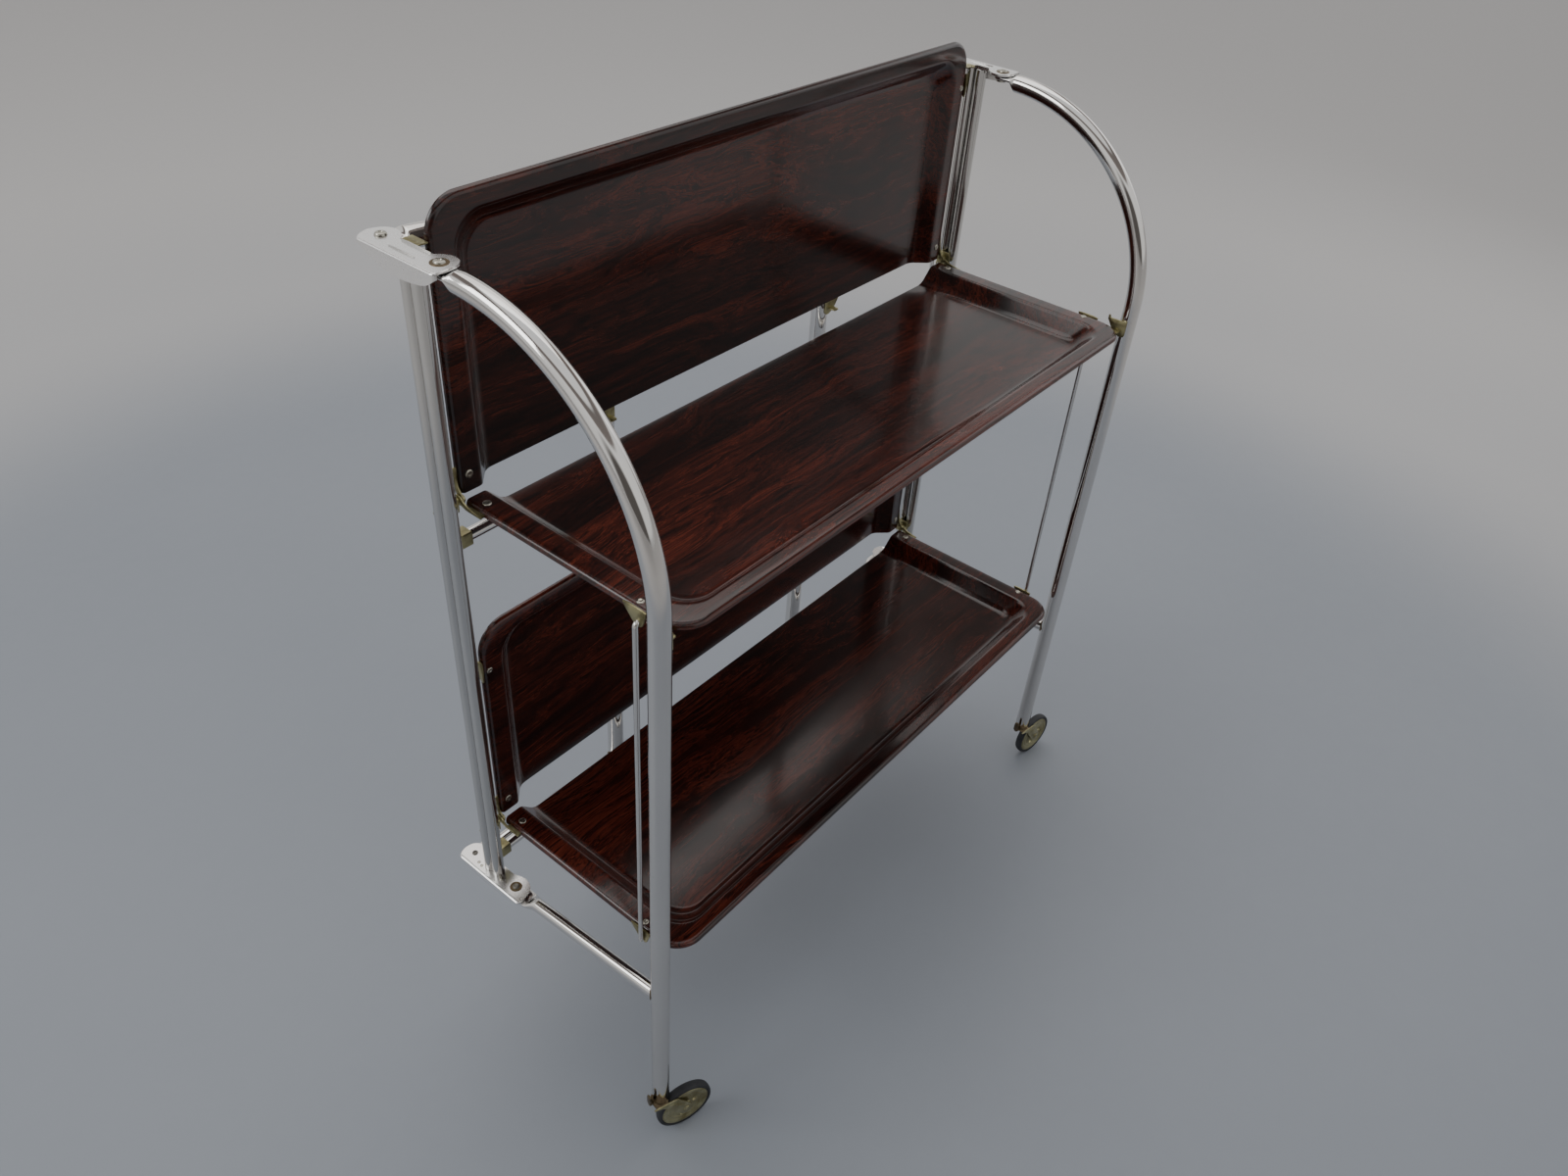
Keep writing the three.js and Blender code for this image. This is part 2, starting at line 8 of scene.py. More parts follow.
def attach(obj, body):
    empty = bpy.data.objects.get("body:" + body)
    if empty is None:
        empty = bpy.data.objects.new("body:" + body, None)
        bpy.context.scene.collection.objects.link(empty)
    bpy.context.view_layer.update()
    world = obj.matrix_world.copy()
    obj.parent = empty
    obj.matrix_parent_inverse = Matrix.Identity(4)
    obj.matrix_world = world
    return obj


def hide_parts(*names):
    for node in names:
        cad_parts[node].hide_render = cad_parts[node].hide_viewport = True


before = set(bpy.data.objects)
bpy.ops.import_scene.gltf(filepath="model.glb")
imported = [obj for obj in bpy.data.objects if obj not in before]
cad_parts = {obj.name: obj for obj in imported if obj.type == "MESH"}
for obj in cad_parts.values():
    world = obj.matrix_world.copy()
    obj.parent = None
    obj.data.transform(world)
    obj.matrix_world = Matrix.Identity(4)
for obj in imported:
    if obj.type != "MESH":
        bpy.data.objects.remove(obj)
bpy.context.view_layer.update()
random.seed(7)
MM = 0.001

# ---- dimensions, in millimetres, as the frame has them ----------------------------------------------
PIVOT_X, PIVOT_Y = 324.0, 28.5
LEG_R, LEG_BORE, LEG_OUT, LEG_Z0 = 8.0, 6.6, 181.0, 52.3
ARC_R, ARC_START, ARC_Z, TAB_TOP_Z = 168.5, 12.5, 616.0, 787.1
BAR_R, BAR_TAB_Z = 6.0, 193.2
BAR_Z = {"front": (196.9, 211.9), "rear": (189.8, 189.8)}
POST_R, POST_Y, POST_X, POST_Z0, POST_Z1 = 5.3, 5.5, 324.2, 197.8, 789.1
PLATE_TOP, PLATE_BOT = 791.4, 197.5
STRETCH = {"upper": 568.5, "lower": 219.5}
HINGE = {"upper": 601.2, "lower": 258.1}
DROP = 1.0
LEAF_X, LEAF_U, LEAF_T, RIM, DISH, LEAF_END, LEAF_CORNER = 309.0, 215.6, 2.3, 5.0, 14.6, 2.0, 26.0
SHOULDER, SHOULDER_R, FOOT_R, SLOPE = 16.5, 7.0, 14.0, math.pi / 4
SHOULDER_FRONT, PANEL_FRONT = 12.5, 31.5
PANEL = SHOULDER + (SHOULDER_R + FOOT_R) * math.sin(SLOPE) + (DISH - (SHOULDER_R + FOOT_R) * (1 - math.cos(SLOPE))) / math.tan(SLOPE)
ROD_X, ROD_R, ROD_U, ROD_H, ROD_END = 313.3, 2.1, 177.0, -10.2, 307.6
WHEEL_R, WHEEL_W, TRAIL, SIDE, HUB_R = 27.5, 8.4, 21.5, 4.2, 23.6


# ---- mesh helpers ------------------------------------------------------------------------------------
def make(name, verts, faces, mats, body, smooth=True, angle=35, replaces=(), slot=None, recalc=True):
    me = bpy.data.meshes.new(name)
    me.from_pydata([tuple(c * MM for c in v) for v in verts], [], faces)
    me.validate()
    if recalc:
        import bmesh
        bm = bmesh.new()
        bm.from_mesh(me)
        bmesh.ops.recalc_face_normals(bm, faces=bm.faces)
        bm.to_mesh(me)
        bm.free()
    ob = bpy.data.objects.new(name, me)
    bpy.context.scene.collection.objects.link(ob)
    for m in mats if isinstance(mats, (list, tuple)) else [mats]:
        me.materials.append(m)
    if smooth:
        for p in me.polygons:
            p.use_smooth = True
        if angle:
            me.set_sharp_from_angle(angle=math.radians(angle))
    if body:
        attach(ob, body)
    if replaces:
        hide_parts(*replaces)
    return ob


def join(*parts):
    V, F = [], []
    for v, f in parts:
        n = len(V)
        V += v
        F += [tuple(i + n for i in q) for q in f]
    return V, F


def mapped(part, fn):
    return [fn(*v) for v in part[0]], part[1]


def superpoint(a, w, h, p):
    c, s = math.cos(a), math.sin(a)
    return w * math.copysign(abs(c) ** (2 / p), c), h * math.copysign(abs(s) ** (2 / p), s)


def sweep(st, n, caps=(True, True)):
    """st: (x, z, tx, tz, half width across, half height, exponent), swept in the x, z plane."""
    V, F = [], []
    for x, z, tx, tz, w, h, p in st:
        l = math.hypot(tx, tz)
        nx, nz = -tz / l, tx / l
        for i in range(n):
            cy, ch = superpoint(2 * math.pi * (i + 0.5) / n, w, h, p)
            V.append((x + nx * ch, cy, z + nz * ch))
    for s in range(len(st) - 1):
        for i in range(n):
            a, b = s * n + i, s * n + (i + 1) % n
            F.append((a, b, b + n, a + n))
    if caps[0]:
        F.append(tuple(range(n)))
    if caps[1]:
        F.append(tuple(range((len(st) - 1) * n, len(st) * n)))
    return V, F


def lathe(prof, n, axis, c, closed=True):
    """prof: (radius, along); c: centre; a radius of 0 ends in a point."""
    V, F, rows = [], [], []
    for r, t in prof:
        if r < 1e-6:
            rows.append([len(V)])
            V.append((0, 0, t))
        else:
            rows.append(list(range(len(V), len(V) + n)))
            V += [(r * math.cos(2 * math.pi * i / n), r * math.sin(2 * math.pi * i / n), t) for i in range(n)]
    pairs = list(zip(rows, rows[1:])) + ([(rows[-1], rows[0])] if closed else [])
    for a, b in pairs:
        if len(a) == 1 and len(b) == 1:
            continue
        for i in range(n):
            j = (i + 1) % n
            if len(a) == 1:
                F.append((a[0], b[i], b[j]))
            elif len(b) == 1:
                F.append((a[i], a[j], b[0]))
            else:
                F.append((a[i], a[j], b[j], b[i]))
    if axis == "z":
        V = [(x + c[0], y + c[1], z + c[2]) for x, y, z in V]
    elif axis == "x":
        V = [(z + c[0], x + c[1], y + c[2]) for x, y, z in V]
    else:
        V = [(y + c[0], z + c[1], x + c[2]) for x, y, z in V]
    return V, F


def slab(axis, pts, t0, t1, bev=0.35):
    """A stamped plate: outline pts in the plane, thick from t0 to t1, its edges rounded by bev."""
    n = len(pts)
    area = sum(pts[i][0] * pts[(i + 1) % n][1] - pts[(i + 1) % n][0] * pts[i][1] for i in range(n))
    sg = 1 if area > 0 else -1
    nor = []
    for i in range(n):
        ax, ay = pts[i - 1]
        bx, by = pts[i]
        cx, cy = pts[(i + 1) % n]
        d1, d2 = (by - ay, -(bx - ax)), (cy - by, -(cx - bx))
        l1, l2 = math.hypot(*d1) or 1, math.hypot(*d2) or 1
        mx, my = d1[0] / l1 + d2[0] / l2, d1[1] / l1 + d2[1] / l2
        l = mx * mx + my * my
        k = 2 / max(l, 1.2) * sg
        nor.append((mx * k, my * k))
    rows = []
    for inset, t in ((bev, t0), (bev * 0.3, t0 + bev * 0.3), (0, t0 + bev), (0, t1 - bev), (bev * 0.3, t1 - bev * 0.3), (bev, t1)):
        rows.append([(p[0] - q[0] * inset, p[1] - q[1] * inset, t) for p, q in zip(pts, nor)])
    V = [v for r in rows for v in r]
    F = []
    for r in range(5):
        for i in range(n):
            a, b = r * n + i, r * n + (i + 1) % n
            F.append((a, b, b + n, a + n))
    F.append(tuple(range(n)))
    F.append(tuple(range(5 * n, 6 * n)))
    if axis == "x":
        V = [(t, a, b) for a, b, t in V]
    elif axis == "y":
        V = [(a, t, b) for a, b, t in V]
    return V, F


def smoothed(pts, times=2):
    """Corner cutting on a closed outline."""
    for _ in range(times):
        out = []
        for i, p in enumerate(pts):
            q = pts[(i + 1) % len(pts)]
            out += [(p[0] * 0.75 + q[0] * 0.25, p[1] * 0.75 + q[1] * 0.25), (p[0] * 0.25 + q[0] * 0.75, p[1] * 0.25 + q[1] * 0.75)]
        pts = out
    return pts


def lerp(t, xs):
    """Piecewise linear table [(x, y), ...]."""
    if t <= xs[0][0]:
        return xs[0][1]
    for (a, u), (b, v) in zip(xs, xs[1:]):
        if t <= b:
            k = (t - a) / (b - a)
            return u + (v - u) * k
    return xs[-1][1]


# ---- materials ---------------------------------------------------------------------------------------
class Nodes:
    def __init__(self, name):
        self.m = bpy.data.materials.new(name)
        self.m.use_nodes = True
        self.t = self.m.node_tree
        self.b = self.t.nodes["Principled BSDF"]

    def n(self, kind, **kw):
        x = self.t.nodes.new(kind)
        for k, v in kw.items():
            if k in x.inputs.keys():
                x.inputs[k].default_value = v
            else:
                setattr(x, k, v)
        return x

    def link(self, a, b):
        self.t.links.new(a, b)

    def coords(self, scale=(1, 1, 1), rot=(0, 0, 0), loc=(0, 0, 0)):
        tc = self.n("ShaderNodeTexCoord")
        mp = self.n("ShaderNodeMapping")
        mp.inputs["Scale"].default_value = scale
        mp.inputs["Rotation"].default_value = rot
        mp.inputs["Location"].default_value = loc
        self.link(tc.outputs["Object"], mp.inputs["Vector"])
        return mp.outputs["Vector"]

    def noise(self, vec, scale, detail=4.0, rough=0.55, dist=0.0):
        x = self.n("ShaderNodeTexNoise")
        x.inputs["Scale"].default_value = scale
        x.inputs["Detail"].default_value = detail
        x.inputs["Roughness"].default_value = rough
        x.inputs["Distortion"].default_value = dist
        self.link(vec, x.inputs["Vector"])
        return x.outputs["Fac"]

    def ramp(self, fac, stops, interp="LINEAR"):
        r = self.n("ShaderNodeValToRGB")
        r.color_ramp.interpolation = interp
        e = r.color_ramp.elements
        while len(e) < len(stops):
            e.new(0.5)
        for s, (p, c) in zip(e, stops):
            s.position = p
            s.color = (c, c, c, 1) if isinstance(c, (int, float)) else (*c, 1)
        self.link(fac, r.inputs["Fac"])
        return r.outputs["Color"]

    def mix(self, fac, a, b, kind="MIX"):
        x = self.n("ShaderNodeMix", data_type="RGBA", blend_type=kind)
        for sock, val in ((x.inputs[0], fac), (x.inputs[6], a), (x.inputs[7], b)):
            if isinstance(val, bpy.types.NodeSocket):
                self.link(val, sock)
            elif isinstance(val, (int, float)):
                sock.default_value = val
            else:
                sock.default_value = (*val, 1)
        return x.outputs[2]

    def math(self, op, a, b=0.0, c=0.0):
        x = self.n("ShaderNodeMath", operation=op)
        for i, val in enumerate((a, b, c)):
            if isinstance(val, bpy.types.NodeSocket):
                self.link(val, x.inputs[i])
            else:
                x.inputs[i].default_value = val
        return x.outputs[0]

    def bump(self, height, strength, distance=0.001, normal=None):
        x = self.n("ShaderNodeBump")
        x.inputs["Strength"].default_value = strength
        x.inputs["Distance"].default_value = distance
        self.link(height, x.inputs["Height"])
        if normal is not None:
            self.link(normal, x.inputs["Normal"])
        self.link(x.outputs["Normal"], self.b.inputs["Normal"])
        return x.outputs["Normal"]


def chrome(name, tint=(0.76, 0.74, 0.715), base_rough=0.07, wear=1.0, haze_amp=0.10, grain=0.03):
    k = Nodes(name)
    v = k.coords()
    haze = k.noise(v, 9.0, 5.0, 0.6)
    spots = k.noise(v, 260.0, 3.0, 0.5)
    fine = k.noise(v, 520.0, 2.0, 0.5)
    pit = k.ramp(spots, [(0.68, 0.0), (0.74, 1.0)])
    patch = k.ramp(k.noise(v, 18.0, 3.0, 0.6), [(0.55, 0.0), (0.7, 1.0)])
    pitted = k.math("MULTIPLY", k.math("MULTIPLY", pit, patch), 0.6 * wear)
    col = k.mix(k.ramp(haze, [(0.3, 0.0), (0.75, 1.0)]), tint, tuple(c * 0.92 for c in tint))
    col = k.mix(pitted, col, (0.16, 0.14, 0.12))
    k.link(col, k.b.inputs["Base Color"])
    r = k.math("MULTIPLY_ADD", haze, haze_amp, base_rough - 0.5 * haze_amp)
    r = k.math("ADD", r, k.math("MULTIPLY", pitted, 0.4))
    r = k.math("ADD", r, k.math("MULTIPLY", fine, grain))
    k.link(r, k.b.inputs["Roughness"])
    k.b.inputs["Metallic"].default_value = 1.0
    k.bump(k.math("ADD", k.math("MULTIPLY", fine, 0.2), k.math("MULTIPLY", pitted, -1.0)), 0.03, 0.0004)
    return k.m


def brass(name, light=(0.50, 0.42, 0.24), dark=(0.16, 0.12, 0.06), rough=0.3):
    k = Nodes(name)
    v = k.coords()
    blotch = k.noise(v, 55.0, 6.0, 0.65)
    fine = k.noise(v, 420.0, 3.0, 0.5)
    stain = k.ramp(blotch, [(0.36, 1.0), (0.58, 0.0)])
    col = k.mix(stain, light, dark)
    col = k.mix(k.ramp(k.noise(v, 130.0, 4.0, 0.6), [(0.6, 0.0), (0.75, 0.55)]), col, (0.30, 0.31, 0.22))
    k.link(col, k.b.inputs["Base Color"])
    k.b.inputs["Metallic"].default_value = 0.92
    k.link(k.math("ADD", k.math("MULTIPLY_ADD", blotch, -0.25, rough + 0.22), k.math("MULTIPLY", fine, 0.12)), k.b.inputs["Roughness"])
    k.bump(k.math("ADD", fine, blotch), 0.12, 0.0004)
    return k.m


def rosewood(name, off):
    """Dark glossy rosewood figure running along X, the same for a lying and for an upright sheet."""
    k = Nodes(name)
    loc = off[:3]
    warp = k.noise(k.coords(scale=(1.6, 5.0, 5.0), loc=loc), 1.0, 3.0, 0.45)
    swirl = k.noise(k.coords(scale=(6.0, 22.0, 22.0), loc=loc), 1.0, 3.0, 0.5)
    tc = k.coords(scale=(1.0, 9.0, 9.0), loc=loc)
    comb = k.n("ShaderNodeCombineXYZ")
    k.link(warp, comb.inputs["X"])
    bend = k.math("MULTIPLY_ADD", swirl, 0.22, warp)
    k.link(bend, comb.inputs["Y"])
    k.link(bend, comb.inputs["Z"])
    add = k.n("ShaderNodeVectorMath", operation="MULTIPLY_ADD")
    k.link(comb.outputs[0], add.inputs[0])
    add.inputs[1].default_value = (0.3, 1.5, 1.5)
    k.link(tc, add.inputs[2])
    vec = add.outputs[0]

    def streak(sx, sy, d=4.0, r=0.6):
        mp = k.n("ShaderNodeMapping")
        mp.inputs["Scale"].default_value = (sx, sy, sy)
        k.link(vec, mp.inputs["Vector"])
        return k.noise(mp.outputs["Vector"], 1.0, d, r)

    broad = streak(1.3, 2.2, 4.0, 0.55)
    mid = streak(3.2, 9.0, 6.0, 0.66)
    fine = streak(7.0, 34.0, 5.0, 0.68)
    hair = streak(15.0, 95.0, 3.0, 0.6)
    pore = streak(34.0, 150.0, 3.0, 0.6)
    fig = k.math("ADD", k.math("MULTIPLY", broad, 0.5), k.math("MULTIPLY", mid, 0.5))
    col = k.ramp(fig, [(0.36, (0.0080, 0.0030, 0.0028)), (0.45, (0.0220, 0.0056, 0.0042)), (0.52, (0.0520, 0.0098, 0.0060)), (0.60, (0.0950, 0.0175, 0.0095)), (0.70, (0.0420, 0.0085, 0.0055))])
    col = k.mix(k.ramp(fine, [(0.40, 0.85), (0.54, 0.0)]), col, (0.0042, 0.0022, 0.0022))
    glow = k.math("MULTIPLY", k.ramp(hair, [(0.52, 0.0), (0.68, 0.65)]), k.ramp(fig, [(0.44, 0.15), (0.60, 1.0)]))
    col = k.mix(glow, col, (0.170, 0.034, 0.017))
    col = k.mix(k.ramp(pore, [(0.32, 0.8), (0.42, 0.0)]), col, (0.0035, 0.0018, 0.0018))
    k.link(col, k.b.inputs["Base Color"])
    scuff = k.noise(k.coords(), 14.0, 5.0, 0.6)
    smear = k.ramp(k.noise(k.coords(loc=(3, 1, 2)), 5.0, 3.0, 0.5), [(0.45, 0.0), (0.75, 0.06)])
    k.link(k.math("ADD", k.math("MULTIPLY_ADD", scuff, 0.10, 0.12), smear), k.b.inputs["Roughness"])
    k.b.inputs["IOR"].default_value = 1.5
    k.b.inputs["Coat Weight"].default_value = 0.25
    k.b.inputs["Coat Roughness"].default_value = 0.08
    k.bump(k.math("ADD", k.math("MULTIPLY", pore, 0.4), k.math("MULTIPLY", scuff, 0.8)), 0.05, 0.0008)
    return k.m


def rubber(name):
    k = Nodes(name)
    v = k.coords()
    dirt = k.noise(v, 60.0, 5.0, 0.6)
    fine = k.noise(v, 700.0, 2.0, 0.5)
    col = k.mix(k.ramp(dirt, [(0.4, 0.0), (0.7, 0.8)]), (0.014, 0.015, 0.019), (0.045, 0.046, 0.050))
    k.link(col, k.b.inputs["Base Color"])
    k.link(k.math("MULTIPLY_ADD", dirt, 0.25, 0.5), k.b.inputs["Roughness"])
    k.bump(k.math("ADD", fine, dirt), 0.2, 0.0004)
    return k.m


CHROME = chrome("chrome_tube")
CHROME_WORN = chrome("chrome_bracket", tint=(0.93, 0.92, 0.91), base_rough=0.24, wear=0.35, haze_amp=0.06, grain=0.05)
CHROME_POST = chrome("chrome_post", tint=(0.63, 0.62, 0.60), base_rough=0.08, wear=1.2)
CHROME_ROD = chrome("chrome_rod", base_rough=0.10, wear=0.6)
BRASS = brass("brass_fitting", light=(0.42, 0.385, 0.215), dark=(0.14, 0.12, 0.055), rough=0.2)
# a darker brass: on the castor fork under the leg its darkness is painted shade; on the braze beads and the pivot
# washers it is their own dark colour
BRASS_DARK_AND_PAINTED_SHADE = brass("brass_dark_and_painted_shade", light=(0.20, 0.15, 0.09), dark=(0.06, 0.045, 0.03), rough=0.26)
BRASS_HUB = brass("brass_hub", light=(0.45, 0.42, 0.25), dark=(0.24, 0.21, 0.10), rough=0.2)
NICKEL = chrome("nickel_rivet", tint=(0.46, 0.44, 0.38), base_rough=0.2, wear=0.8)
SCREW_DARK = brass("dark_screw", light=(0.26, 0.25, 0.22), dark=(0.05, 0.045, 0.04), rough=0.2)
RUBBER = rubber("grey_rubber")
WOOD = {
    "front_upper": rosewood("rosewood_front_upper", (0.3, 1.7, 0.2)),
    "front_lower": rosewood("rosewood_front_lower", (2.9, 5.1, 3.3)),
    "rear_upper": rosewood("rosewood_rear_upper", (7.4, 2.2, 5.8)),
    "rear_lower": rosewood("rosewood_rear_lower", (4.6, 9.3, 1.9)),
}


# ---- gates -------------------------------------------------------------------------------------------
GATES = {
    "front_left": (lambda x, y, z: (-PIVOT_X + y, -PIVOT_Y - x, z), -0.33),
    "front_right": (lambda x, y, z: (PIVOT_X - y, -PIVOT_Y - x, z), -0.15),
    "rear_left": (lambda x, y, z: (-PIVOT_X + x, PIVOT_Y - y, z), 0.2),
    "rear_right": (lambda x, y, z: (PIVOT_X - x, PIVOT_Y - y, z), -0.1),
}


def rounded_tip(z, w, t, r0, length):
    """Stations of a flattened tube's rounded end."""
    out = []
    for i in range(7):
        a = math.pi / 2 * i / 6
        out.append((r0 + length * (1 - math.cos(a)), z, 1, 0, max(w * math.sin(a), 0.4), t * (0.55 + 0.45 * math.sin(a)), 3.2))
    return out


def leg():
    st = rounded_tip(TAB_TOP_Z, 9.0, 2.0, -8.0, 8.0)
    st += [(x, TAB_TOP_Z, 1, 0, 9.0, 2.0, 3.2) for x in (3.0, 7.0, 11.0, 12.0)]
    f0 = math.radians(1.55)
    xa, za = ARC_START + ARC_R * math.sin(f0), ARC_Z + ARC_R * math.cos(f0)
    for i in range(1, 7):
        k = i / 7
        s = k * k * (3 - 2 * k)
        st.append((12.3 + (xa - 12.3) * k, TAB_TOP_Z + (za - TAB_TOP_Z) * s, 1, 0, 9.0 - s, 2.0 + 6.0 * s, 3.2 - 1.2 * s))
    for i in range(49):
        f = f0 + (math.pi / 2 - f0) * i / 48
        st.append((ARC_START + ARC_R * math.sin(f), ARC_Z + ARC_R * math.cos(f), math.cos(f), -math.sin(f), LEG_R, LEG_R, 2))
    for z in (560, 480, 400, 320, 240, 160, 90, LEG_Z0 + 0.5):
        st.append((LEG_OUT, z, 0, -1, LEG_R, LEG_R, 2))
    st.append((LEG_OUT, LEG_Z0 + 0.1, 0, -1, LEG_R - 0.25, LEG_R - 0.25, 2))
    st.append((LEG_OUT, LEG_Z0, 0, -1, LEG_R - 0.6, LEG_R - 0.6, 2))
    st.append((LEG_OUT, LEG_Z0 + 0.3, 0, -1, LEG_BORE, LEG_BORE, 2))
    st.append((LEG_OUT, LEG_Z0 + 34, 0, -1, LEG_BORE, LEG_BORE, 2))
    V, F = sweep(st, 40)
    return V, F


def bar(z0, z1):
    zt, q = BAR_TAB_Z, (z1 - z0) / (LEG_OUT - 30)
    st = rounded_tip(zt, 8.4, 2.0, -8.0, 8.0)
    st += [(x, zt, 1, 0, 8.4, 2.0, 3.2) for x in (3.0, 7.0, 12.0, 17.0)]
    for i in range(1, 8):
        k = i / 8
        s = k * k * (3 - 2 * k)
        st.append((17 + 13.0 * k, zt + (z0 - zt) * s, 1, q * k, 8.4 - 2.4 * s, 2.0 + 4.0 * s, 3.2 - 1.2 * s))
    for x in (30, 50, 80, 110, 140, 165):
        st.append((x, z0 + q * (x - 30), 1, q, BAR_R, BAR_R, 2))
    V, F = sweep(st, 32, caps=(True, False))
    # coped end against the leg
    n, base = 32, len(V) - 32
    ring = []
    for i in range(n):
        x, y, z = V[base + i]
        xe = LEG_OUT - math.sqrt((LEG_R + 0.1) ** 2 - y * y)
        ring.append((xe, y, z + q * (xe - x)))
    m = len(V)
    V += ring
    for i in range(n):
        j = (i + 1) % n
        F.append((base + i, base + j, m + j, m + i))
    return V, F


def braze(zc):
    """The bead of brazing round the bar where it meets the leg."""
    V, F, n, k = [], [], 40, 8
    for i in range(n):
        a = 2 * math.pi * i / n
        rr = 0.9 + 0.35 * math.sin(3 * a + 1) + 0.25 * math.sin(7 * a)
        for j in range(k):
            b = 2 * math.pi * j / k
            rad = BAR_R + 0.3 + rr * 0.8 * math.cos(b)
            y, z = rad * math.cos(a), rad * math.sin(a)
            x = LEG_OUT - math.sqrt(max((LEG_R + 0.2) ** 2 - y * y, 1)) - 0.3 + rr * 0.9 * math.sin(b)
            V.append((x, y, zc + z))
    for i in range(n):
        for j in range(k):
            F.append((i * k + j, ((i + 1) % n) * k + j, ((i + 1) % n) * k + (j + 1) % k, i * k + (j + 1) % k))
    return V, F


def support():
    flag = slab("y", [(164, 606), (164, 601.8), (169.4, 593.8), (175.6, 589.0), (178.0, 587.8), (181.0, 587.6), (LEG_OUT + 1.9, 588.6), (LEG_OUT + 2.5, 590.2), (LEG_OUT + 2.5, 603.4), (LEG_OUT + 1.8, 604.0), (167.0, 603.4), (166.0, 603.9), (165.5, 606)], LEG_R + 0.1, LEG_R + 1.9, 0.3)
    shelf = slab("z", smoothed([(172.5, LEG_R + 0.6), (179.5, LEG_R + 0.6), (179.5, 16.1), (178.2, 17.4), (173.8, 17.4), (172.5, 16.1)], 1), 592.9, 594.3, 0.3)
    return join(flag, shelf)


def tyre():
    w = WHEEL_W / 2
    prof = [(HUB_R + 0.1, -w + 0.7), (HUB_R + 0.25, -w + 0.3), (HUB_R + 0.9, -w + 0.1)]
    for a in range(0, 181, 12):
        t = math.radians(a)
        prof.append((WHEEL_R - 2.3 + 2.3 * math.sin(t) ** 0.7, -math.cos(t) * (w - 0.05)))
    prof += [(HUB_R + 0.9, w - 0.1), (HUB_R + 0.25, w - 0.3), (HUB_R + 0.1, w - 0.7)]
    return lathe(prof, 72, "y", (TRAIL, -SIDE, WHEEL_R))


def hub():
    """Pressed disc each side: rolled rim, a ring groove, three round pressings and a raised boss."""
    w = WHEEL_W / 2
    n = 132
    rs = [2.5, 3.6, 4.6, 5.2, 5.6, 6.1, 6.8, 7.6, 8.4, 9.2, 10.0, 10.8, 11.6, 12.4, 13.2, 14.0, 14.8, 15.5, 16.1, 16.6, 17.2, 17.9, 18.6, 19.4, 20.2, 21.0, 21.7, 22.4, 23.0, 23.4, HUB_R]
    level = [(0, 0.0), (4.6, 0.0), (5.4, -0.4), (6.1, -1.5), (7.2, -1.8), (14.0, -1.8), (15.3, -1.5), (16.1, -0.9), (16.9, -0.9), (17.6, -1.3), (18.6, -1.0), (19.8, -0.35), (21.4, -0.1), (22.8, -0.2), (23.4, -0.6), (HUB_R, -0.9)]
    parts = []
    for sgn in (-1, 1):
        V, F = [], []
        for r in rs:
            for i in range(n):
                a = 2 * math.pi * i / n
                h = lerp(r, level)
                for q in range(3):
                    b = 2.4 + 2 * math.pi * q / 3
                    d = math.hypot(r * math.cos(a) - 10.6 * math.cos(b), r * math.sin(a) - 10.6 * math.sin(b))
                    h -= lerp(d, [(0, 1.3), (1.9, 1.3), (2.6, 1.0), (3.2, -0.35), (3.8, -0.3), (4.4, 0.0)])
                V.append((TRAIL + r * math.cos(a), -SIDE + sgn * (w + h), WHEEL_R + r * math.sin(a)))
        for q in range(len(rs) - 1):
            for i in range(n):
                j = (i + 1) % n
                F.append((q * n + i, q * n + j, (q + 1) * n + j, (q + 1) * n + i))
        F.append(tuple(range(n)))
        parts.append((V, F))
    body = lathe([(HUB_R - 0.8, -w + 0.9), (HUB_R, -w + 0.9), (HUB_R, w - 0.9), (HUB_R - 0.8, w - 0.9)], n, "y", (TRAIL, -SIDE, WHEEL_R))
    return join(*parts, body)


def fork():
    """Castor fork: a saddle under the leg with an upright tab in front and one stamped cheek beside the wheel."""
    y0, y1 = -SIDE - WHEEL_W / 2, -SIDE + WHEEL_W / 2
    saddle = slab("z", smoothed([(-9.6, 3), (-9.6, -5), (-8, -10.2), (4.8, -10.2), (4.8, 5), (2, 8), (-3, 8), (-7, 6)], 1), 49.9, 51.5, 0.35)
    cheek = slab("y", smoothed([(-11.3, 51.6), (-10.8, 49.8), (-1, 47.4), (7, 36), (15, 23.6), (18, 20.4), (21.5, 19.2), (25.6, 20.6), (28, 25), (27.6, 30), (21, 40), (14.4, 48.6), (12.8, 51.6), (2, 51.7)], 1), y0 - 2, y0 - 0.5, 0.35)
    tab = slab("x", smoothed([(-3.2, 48.4), (3.2, 48.4), (3.2, 58), (2.0, 62.3), (-2.0, 62.3), (-3.2, 58)], 1), -12.4, -10.8, 0.35)
    tie = slab("z", [(-12.2, -3), (-8, -3), (-8, 3), (-12.2, 3)], 49.9, 51.5, 0.3)
    stem = lathe([(0, 50), (4.5, 50), (4.5, 78), (3.8, 80), (0, 80)], 24, "z", (0, 0, 0), closed=False)
    axle = lathe([(0, y0 - 3.1), (1.7, y0 - 3.0), (2.9, y0 - 2.7), (3.5, y0 - 2.2), (3.6, y0 - 1.6), (2.4, y0 - 1.5), (2.4, y1 + 0.6), (0, y1 + 0.6)], 28, "y", (TRAIL, 0, WHEEL_R), closed=False)
    nut = lathe([(0, y1 + 1.7), (2.4, y1 + 1.6), (3.5, y1 + 1.2), (3.8, y1 + 0.4), (0, y1 + 0.4)], 28, "y", (TRAIL, 0, WHEEL_R), closed=False)
    rib = slab("y", smoothed([(3.5, 46.8), (8.5, 48.6), (22.4, 33.5), (18.6, 30)], 1), y0 - 2.4, y0 - 1.8, 0.25)
    return join(saddle, tab, tie, stem), join(cheek, axle, nut, rib)


